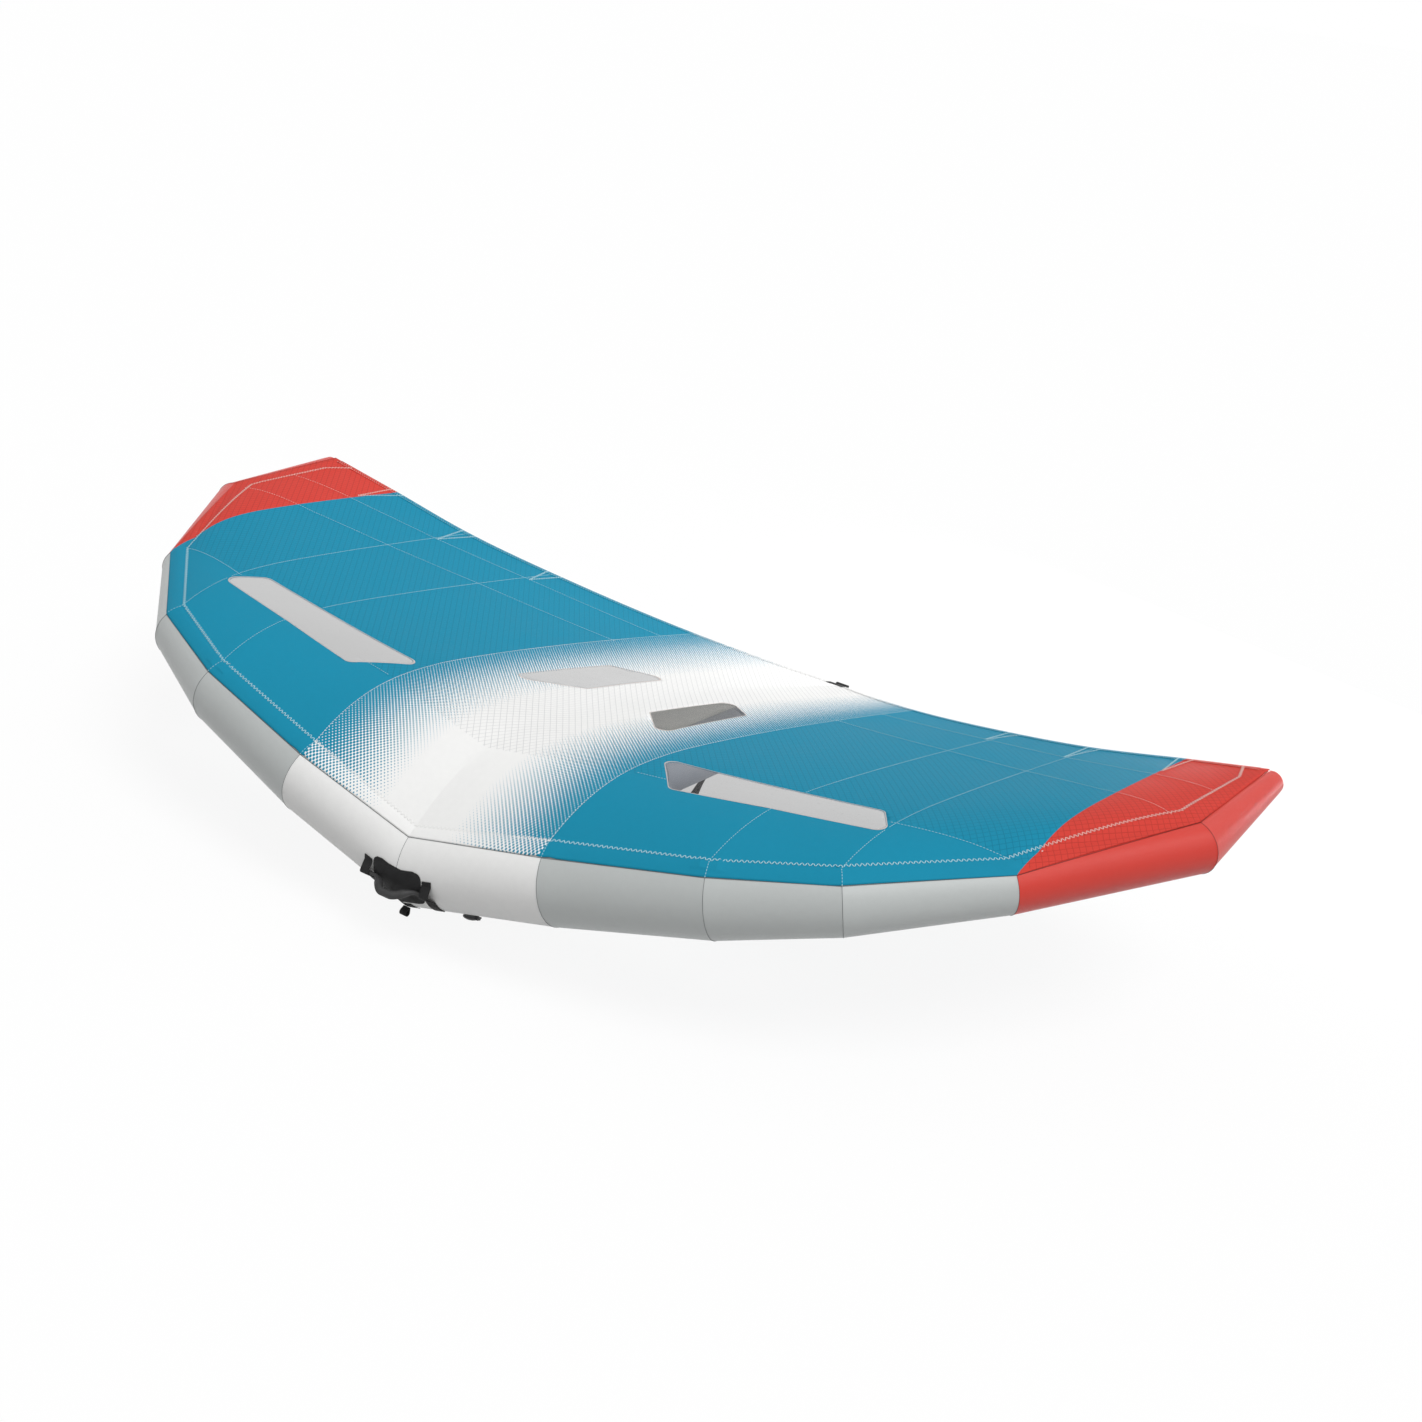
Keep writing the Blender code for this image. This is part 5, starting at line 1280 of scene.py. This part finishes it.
def buildStrap(name, path, normals):
    rings = []
    for k, (point, normal) in enumerate(zip(path, normals)):
        share = min(k, len(path) - 1 - k) / (len(path) - 1)
        flat = min(max((share - handles["flatFrom"]) / handles["flatOver"], 0.0), 1.0)
        wide = lerp(handles["neckRadius"], handles["webbingWidth"] / 2, flat)
        tall = lerp(handles["neckRadius"], handles["webbingThickness"] / 2, flat)
        rings.append(section(point, spanwise, normal, wide, tall, 24, lerp(1.0, 0.35, flat)))
    strap = surface(name + "HandleWebbing", rings, "blackWebbing", closed=True, caps=True, sharp=50.0)
    settle(strap, name + "_handle", [name + "_handle_webbing"])


def buildGrip(name, path, normals):
    first = round(len(path) * handles["gripFrom"])
    last = len(path) - 1 - first
    rings = []
    for k in range(first, last + 1):
        radius = handles["gripDiameter"] / 2 * handles["gripEnds"][min(k - first, last - k, 3)]
        rings.append(section(path[k], spanwise, normals[k], radius, radius, 36, 0.85))
    wide, tall = [handles[size] / 2 + handles["clearance"] for size in ("webbingWidth", "webbingThickness")]
    bore = [section(path[k], spanwise, normals[k], wide, tall, 36, 0.6) for k in (last, first)]
    grip = surface(name + "HandleGrip", rings + bore + [rings[0]], "blackFoam", closed=True, sharp=40.0)
    settle(welded(grip, 1e-6), name + "_handle", [name + "_handle_grip"])


def buildPatch(name, end, middle):
    rows = []
    for i in range(13):
        share = i / 12 - 0.5
        y = middle + handles["patchLength"] * share
        corner = max(abs(share) * 2 - 1 + handles["patchCorner"], 0.0) / handles["patchCorner"]
        reach = 1.0 - handles["patchNarrowing"] * (1.0 - math.sqrt(1.0 - corner ** 2))
        reach *= math.radians(handles["patchTurn"])
        rows.append([strutPoint(y, math.pi + reach * (k / 8 - 1.0), handles["gap"]) for k in range(17)])
    clothStrip(name + "HandlePatch" + end.capitalize(), rows, handles["patchThickness"], 1.0,
               [name + "_handle_patch_" + end])


def buildHandle(name):
    place = handles["places"][name]
    bottom = strutHeight(place) - strutRadius(place)
    axis = bottom - 2 * handles["gap"] - handles["patchThickness"] - handles["neckRadius"]
    path = handlePath(place, axis)
    for smoothing in range(2):
        path = smoothPath(path, 3)
        for point in path:
            point.z = min(point.z, axis)
    normals = pathNormals(path, spanwise)
    buildStrap(name, path, normals)
    buildGrip(name, path, normals)
    buildPatch(name, "front", place)
    buildPatch(name, "rear", place + handles["spread"])


for handleName in handles["places"]:
    buildHandle(handleName)
print("handles made")


# Handle on the leading edge: two strips over a bowed grip, with a pad behind it.
edgeHandle = {
    "stripPlace": 0.089, "stripWidth": 0.025, "stripThickness": 0.0016, "stripAngles": (-95.0, -152.0),
    "stripShoulder": 0.85, "stripFoot": 4.0, "lift": 0.0010, "padWidth": 0.146, "padThickness": 0.0020,
    "padAngles": (-85.0, -134.0), "padCorner": 0.45, "padNarrowing": 0.35, "padRim": 0.16,
    "padRimHeight": 0.35, "gripDiameter": 0.021, "neckDiameter": 0.010, "swell": 2.2, "gripAngle": -112.0,
    "gripBow": 0.036, "gripEnds": (0.7, 0.95, 1.0), "riseShare": 0.82, "standoff": 0.0075, "gripEnd": 0.011,
    "clearance": 0.0004,
}


def spokeAt(angle):
    turn = math.radians(angle)
    return Vector((0.0, math.sin(turn), math.cos(turn)))


def stripLift(station, angle, hinge):
    # How far a strip stands off the tube: over the grip's neck, and down again on both sides of it.
    around = edgeHandle["neckDiameter"] / 2 + 4 * edgeHandle["clearance"]
    shoulder, foot, lift = edgeHandle["stripShoulder"], edgeHandle["stripFoot"], edgeHandle["lift"]
    spoke = spokeAt(angle)
    offset = tubePoint(station, angle, 0.0) - hinge
    offset.x = 0.0
    along = offset.dot(spoke)
    off = (offset - spoke * along).length / around
    if off >= foot:
        return lift
    height = around * math.sqrt(1 - min(off, shoulder) ** 2) - along
    if off > shoulder:
        height = lerp(height, lift, (off - shoulder) / (foot - shoulder))
    return max(height, lift)


def buildStrips(hinge):
    for side, word in handSides:
        rows = []
        for k in range(81):
            angle = lerp(*edgeHandle["stripAngles"], k / 80)
            row = []
            for j in range(7):
                x = edgeHandle["stripPlace"] + edgeHandle["stripWidth"] * (j / 6 - 0.5) * side
                station = x / firstLength * side
                row.append(tubePoint(station, angle, stripLift(station, angle, hinge)))
            rows.append(row)
        clothStrip("handleStrip" + word.capitalize(), rows, edgeHandle["stripThickness"], -1.0,
                   ["handle_strip_" + word])


def buildPad():
    # Crowned, with rounded corners and a thin sewn rim.
    half, lift = edgeHandle["padWidth"] / 2 / firstLength, edgeHandle["lift"]
    rings = []
    for i in range(25):
        share = i / 24
        angle = lerp(*edgeHandle["padAngles"], share)
        edge = max((abs(share - 0.5) * 2 - 1 + edgeHandle["padCorner"]) / edgeHandle["padCorner"], 0.0)
        reach = 1.0 - edgeHandle["padNarrowing"] * (1.0 - math.sqrt(1.0 - min(edge, 1.0) ** 2))
        top, bottom = [], []
        for k in range(33):
            across = k / 16 - 1.0
            station = half * across * reach
            rim = min(1.0 - abs(across), 2 * min(share, 1.0 - share)) / edgeHandle["padRim"]
            crown = lerp(edgeHandle["padRimHeight"], 1.0, math.sin(min(rim, 1.0) * math.pi / 2))
            top.append(tubePoint(station, angle, lift + edgeHandle["padThickness"] * crown))
            bottom.append(tubePoint(station, angle, lift))
        rings.append(top + bottom[::-1])
    pad = surface("handlePad", rings, "blackWebbing", closed=True, caps=True, sharp=50.0)
    settle(pad, "wing", ["handle_pad"])


def buildEdgeGrip(hinge):
    bow = spokeAt(edgeHandle["gripAngle"]) * edgeHandle["gripBow"]
    straight = edgeHandle["stripPlace"] - edgeHandle["stripWidth"] / 2 - edgeHandle["gripEnd"]
    reach = edgeHandle["stripPlace"] + edgeHandle["gripEnd"]
    path, radii = [], []
    last = 72
    for k in range(last + 1):
        x = reach * (2 * k / last - 1.0)
        rise = min(max((1.0 - abs(x) / straight) / edgeHandle["riseShare"], 0.0), 1.0)
        rise = rise * rise * (3 - 2 * rise)
        full = min(edgeHandle["swell"] * rise, 1.0)
        path.append(hinge + bow * rise + spanwise * x)
        radii.append(lerp(edgeHandle["neckDiameter"], edgeHandle["gripDiameter"], full) / 2)
    rings = []
    for k, point in enumerate(path):
        way = (path[min(k + 1, last)] - path[max(k - 1, 0)]).normalized()
        rings.append(roundRing(point, way, radii[k] * edgeHandle["gripEnds"][min(k, last - k, 2)], 28))
    grip = surface("edgeHandleGrip", rings, "blackFoam", closed=True, caps=True, sharp=45.0)
    settle(grip, "leading_edge_handle", ["handle_grip"])


def buildEdgeHandle():
    standoff = edgeHandle["standoff"] + edgeHandle["neckDiameter"] / 2
    hinge = tubePoint(edgeHandle["stripPlace"] / firstLength, edgeHandle["gripAngle"], standoff)
    hinge.x = 0.0
    buildStrips(hinge)
    buildPad()
    buildEdgeGrip(hinge)


buildEdgeHandle()
print("leading edge handle made")


# Loops of folded webbing for the leash and at the tail.
loops = {
    "topRadius": 0.0022, "gap": 0.0003,
    "leash": {"reach": 0.013, "radius": 0.0085, "wall": 0.0020, "width": 0.020, "angle": -149.0,
              "patch": 0.044},
    "tail": {"reach": 0.0062, "radius": 0.0045, "wall": 0.0014, "width": 0.044},
    "tailPatch": {"width": 0.060, "depth": 0.030, "thickness": 0.0012, "lift": 0.0006},
}


def loopOutline(small, large, distance):
    lean = math.asin((large - small) / distance)
    points = []
    for k in range(13):
        turn = math.pi - lean - (math.pi - 2 * lean) * k / 12
        points.append((small * math.cos(turn), small * math.sin(turn)))
    for k in range(29):
        turn = lean - (math.pi + 2 * lean) * k / 28
        points.append((large * math.cos(turn), -distance + large * math.sin(turn)))
    return points


def webbingLoop(name, size, matrix, body, node):
    small, half = loops["topRadius"], size["width"] / 2
    outer = loopOutline(small, size["radius"], size["reach"])
    inner = loopOutline(small / 5, size["radius"] - size["wall"], size["reach"] - small)
    inner = [(x, y - small) for x, y in inner]
    rows = []
    for outline, depth in ((outer, -half), (outer, half), (inner, half), (inner, -half), (outer, -half)):
        rows.append([matrix @ Vector((x, y, depth)) for x, y in outline])
    piece = surface(name, rows, "blackWebbing", closed=True, sharp=40.0)
    settle(welded(piece, 1e-7), body, [node])


def buildLeash():
    leash = loops["leash"]
    half = leash["patch"] / 2 / firstLength
    arc = math.degrees(leash["patch"] / 2 / seamRadii[0])
    rows = []
    for k in range(13):
        angle = leash["angle"] + arc * (1 - k / 6)
        rows.append([tubePoint(half * (j / 6 - 1), angle, edgeHandle["lift"]) for j in range(13)])
    clothStrip("leashPatch", rows, edgeHandle["stripThickness"], -1.0, ["leash_patch"])
    out = tubeOut(0.0, leash["angle"])
    lift = edgeHandle["lift"] + edgeHandle["stripThickness"] + loops["gap"] + loops["topRadius"]
    matrix = axesAt(tubePoint(0.0, leash["angle"], lift), spanwise.cross(out), -out, spanwise)
    webbingLoop("leashLoop", leash, matrix, "leash", "leash_loop")


def buildTail():
    patch = loops["tailPatch"]
    rows = []
    for k in range(9):
        row = []
        for j in range(25):
            x = patch["width"] / 2 * (j / 12 - 1)
            row.append(onCanopy(x, trailingLine(abs(x))[0] - patch["depth"] * (1 - k / 8), patch["lift"]))
        rows.append(row)
    clothStrip("tailPatch", rows, patch["thickness"], 1.0, ["tail_patch"])
    height = canopyHeight(0.0, canopy["chord"]) + canopy["cloth"] / 2
    place = Vector((0.0, canopy["chord"] + loops["gap"] + loops["topRadius"], height))
    webbingLoop("tailLoop", loops["tail"], axesAt(place, upward, -aft, spanwise), "tail_tab", "tail_loop")


buildLeash()
buildTail()
print("loops made")


# Sewn lines: zigzag behind the leading edge seam, panel seams, spanwise lines, darts and hem.
sewing = {
    "zigzag": {"pitch": 0.0062, "length": 0.0120, "width": 0.0026, "height": 0.0014, "slant": 58.0,
               "material": "paleThread", "lift": 0.0009, "step": 0.006},
    "row": {"pitch": 0.0080, "length": 0.0060, "width": 0.0019, "height": 0.0012, "material": "paleThread",
            "lift": 0.0006, "hemLift": 0.0012, "hemInsets": (0.008, 0.020)},
    "dart": {"pitch": 0.0062, "length": 0.0105, "width": 0.0026, "height": 0.0014, "slant": 50.0,
             "material": "paleThread", "lift": 0.0009, "step": 0.006, "spread": 0.021},
    "box": {"pitch": 0.0034, "length": 0.0026, "width": 0.0009, "height": 0.0006, "material": "darkThread",
            "lift": 0.0005, "turn": 29.0, "reach": 0.029},
    "edge": {"pitch": 0.0040, "length": 0.0044, "width": 0.0014, "height": 0.0012, "material": "darkThread",
             "lift": 0.0004, "seamLift": 0.0006, "seamTurn": 0.8},
    "endGap": 0.004,
}
hem = {
    "width": 0.026, "thickness": 0.0006, "spanShare": 0.985, "gap": 0.0002,
    "tapeWidth": 0.022, "tapeThickness": 0.0003, "tapeFrom": 0.06, "tapeOver": 0.92,
}
zigzagPoints = [(0.0, -0.060), (0.373, -0.027), (0.770, 0.037), (1.039, 0.151), (1.314, 0.419),
                (1.536, 0.886), (1.556, 1.231), (1.532, 1.330)]
spanRows = [
    [(0.404, 0.262), (0.775, 0.302), (1.043, 0.361), (1.314, 0.419)],
    [(0.393, 1.274), (0.798, 1.131), (1.079, 1.015), (1.355, 0.913), (1.525, 0.850)],
    [(0.406, 1.542), (0.805, 1.377), (1.086, 1.252), (1.357, 1.153), (1.545, 1.080)],
]
dartPlaces = (((0.805, 1.377), 0.825), ((1.086, 1.252), 1.102), ((1.372, 1.193), 1.369))
strutSeams = (0.470, 0.915, 1.360, 1.880)


def panelSeams():
    # Three plan points of each panel seam: its front, where it leaves the tube, and its end at the hem.
    columns = canopyColumns()
    seams = []
    for count in range(1, 5):
        column = columns[sum(canopy["columns"][:count])]
        front, leave, end = column[0], column[canopy["bandRows"]], column[-1]
        seams.append([tuple(front), tuple(leave), (end.x, end.y - sewing["endGap"])])
    return seams


def trailingPath(inset):
    places = [canopy["halfSpan"] * k / 60 * hem["spanShare"] for k in range(61)]
    return [(x, trailingLine(x)[0] - inset) for x in places]


def buildHem():
    # The folded hem on the trailing edge and the tapes glued under the panel seams.
    rows = []
    for k in range(-90, 91):
        x = canopy["halfSpan"] * k / 90 * hem["spanShare"]
        places = [trailingLine(abs(x))[0] - hem["width"] * share for share in (1.0, 0.67, 0.33, -0.01)]
        rows.append([onCanopy(x, y, hem["gap"]) for y in places])
    strip = surface("trailingHem", rows, "hemCloth", turn=True)
    pieces = [settle(thicken(strip, hem["thickness"], 1.0))]
    offsets = (-hem["tapeWidth"] / 2, 0.0, hem["tapeWidth"] / 2)
    for seam in seamEnds:
        leave, end = Vector(seam[1]), Vector(seam[2])
        spots = [leave.lerp(end, hem["tapeFrom"] + hem["tapeOver"] * k / 80) for k in range(81)]
        runs = clearRuns(spots, tuple)
        for side, word in handSides:
            for run in runs:
                rows = [[mirrored(underCanopy(spot.x + off, spot.y, -hem["gap"]), side) for off in offsets]
                        for spot in run]
                name = "seamTape" + word.capitalize() + str(len(pieces))
                tape = surface(name, rows, "tapeCloth", turn=side < 0)
                pieces.append(settle(thicken(tape, hem["tapeThickness"], 1.0)))
    return pieces


seamEnds = panelSeams()
hemPieces = buildHem()


def seamLines():
    # The tube's long seam and ring seams, and the ring seams of the strut.
    edge = sewing["edge"]
    paths = []
    for side in (1.0, -1.0):
        path = []
        for k in range(24 * len(tubeWays)):
            angle = atShare(canopy["seamAngles"], k / 24) - edge["seamTurn"]
            path.append((mirrored(tubePoint(k / 24, angle, edge["seamLift"]), side),
                         mirrored(tubeOut(k / 24, angle), side)))
        paths.append(path)
    for index, centre in enumerate(axisPoints[:-1]):
        for side in ((1.0, -1.0) if index else (1.0,)):
            path = []
            for k in range(97):
                point = seamPoint(index, seamRadii[index] + edge["lift"], 360.0 * k / 96)
                path.append((mirrored(point, side), mirrored((point - centre).normalized(), side)))
            paths.append(path)
    for y in strutSeams:
        turns = [2 * math.pi * k / 96 for k in range(97)]
        path = [(strutPoint(y, turn, edge["lift"]), strutOut(turn)) for turn in turns]
        wall = math.ceil(strut["wall"] / math.pi / strutRadius(y) * 96 + 1)
        paths.append(path[wall:-wall])
    return paths


def boxLine(middle):
    # Round a handle patch and across it both ways.
    box = sewing["box"]
    corners = ((-1, -1), (1, -1), (1, 1), (-1, 1), (-1, -1), (1, 1), (1, -1), (-1, 1))
    places = [(math.pi + math.radians(box["turn"]) * across, middle + box["reach"] * along)
              for across, along in corners]
    path = []
    for (firstTurn, firstY), (nextTurn, nextY) in zip(places, places[1:]):
        for k in range(12):
            turn, y = lerp(firstTurn, nextTurn, k / 12), lerp(firstY, nextY, k / 12)
            path.append((strutPoint(y, turn, box["lift"] + handles["patchThickness"]), strutOut(turn)))
    return path


def buildSewing():
    zigzag, row, dart = sewing["zigzag"], sewing["row"], sewing["dart"]
    paths = [planPath(points, zigzag["lift"], zigzag["step"]) for points in bothSides(zigzagPoints)]
    stitches("zigzagStitches", paths, zigzag)
    paths = []
    for line in seamEnds[:3] + spanRows:
        for points in bothSides(line):
            paths += clearRuns(planPath(points, row["lift"]), lambda spot: spot[0].xy)
    for inset in row["hemInsets"]:
        paths += [planPath(points, row["hemLift"]) for points in bothSides(trailingPath(inset))]
    stitches("seamStitches", paths, row)
    # Darts at the trailing edge, a narrow V at each outer seam.
    paths = []
    for tip, end in dartPlaces:
        for x in (end - dart["spread"], end + dart["spread"]):
            leg = (x, trailingLine(x)[0] - sewing["endGap"])
            paths += [planPath(points, dart["lift"], dart["step"]) for points in bothSides([tip, leg])]
    stitches("dartStitches", paths, dart)
    stitches("seamThreads", seamLines(), sewing["edge"])
    starts = handles["places"].values()
    paths = [boxLine(middle) for start in starts for middle in (start, start + handles["spread"])]
    stitches("patchStitches", paths, sewing["box"])


buildSewing()
print("sewing made")

# Plain CAD nodes that keep their shape.
plainNodes = {
    "blackPlastic": ("valve_body", "valve_cap", "hose_port_leading_edge", "hose_port_strut", "hose_clamp",
                     "hose_clamp_lever"),
    "bladderFilm": ("bladder_leading_edge", "bladder_strut"),
}
for materialName, nodeNames in plainNodes.items():
    for nodeName in nodeNames:
        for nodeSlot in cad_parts[nodeName].material_slots:
            nodeSlot.material = materials[materialName]
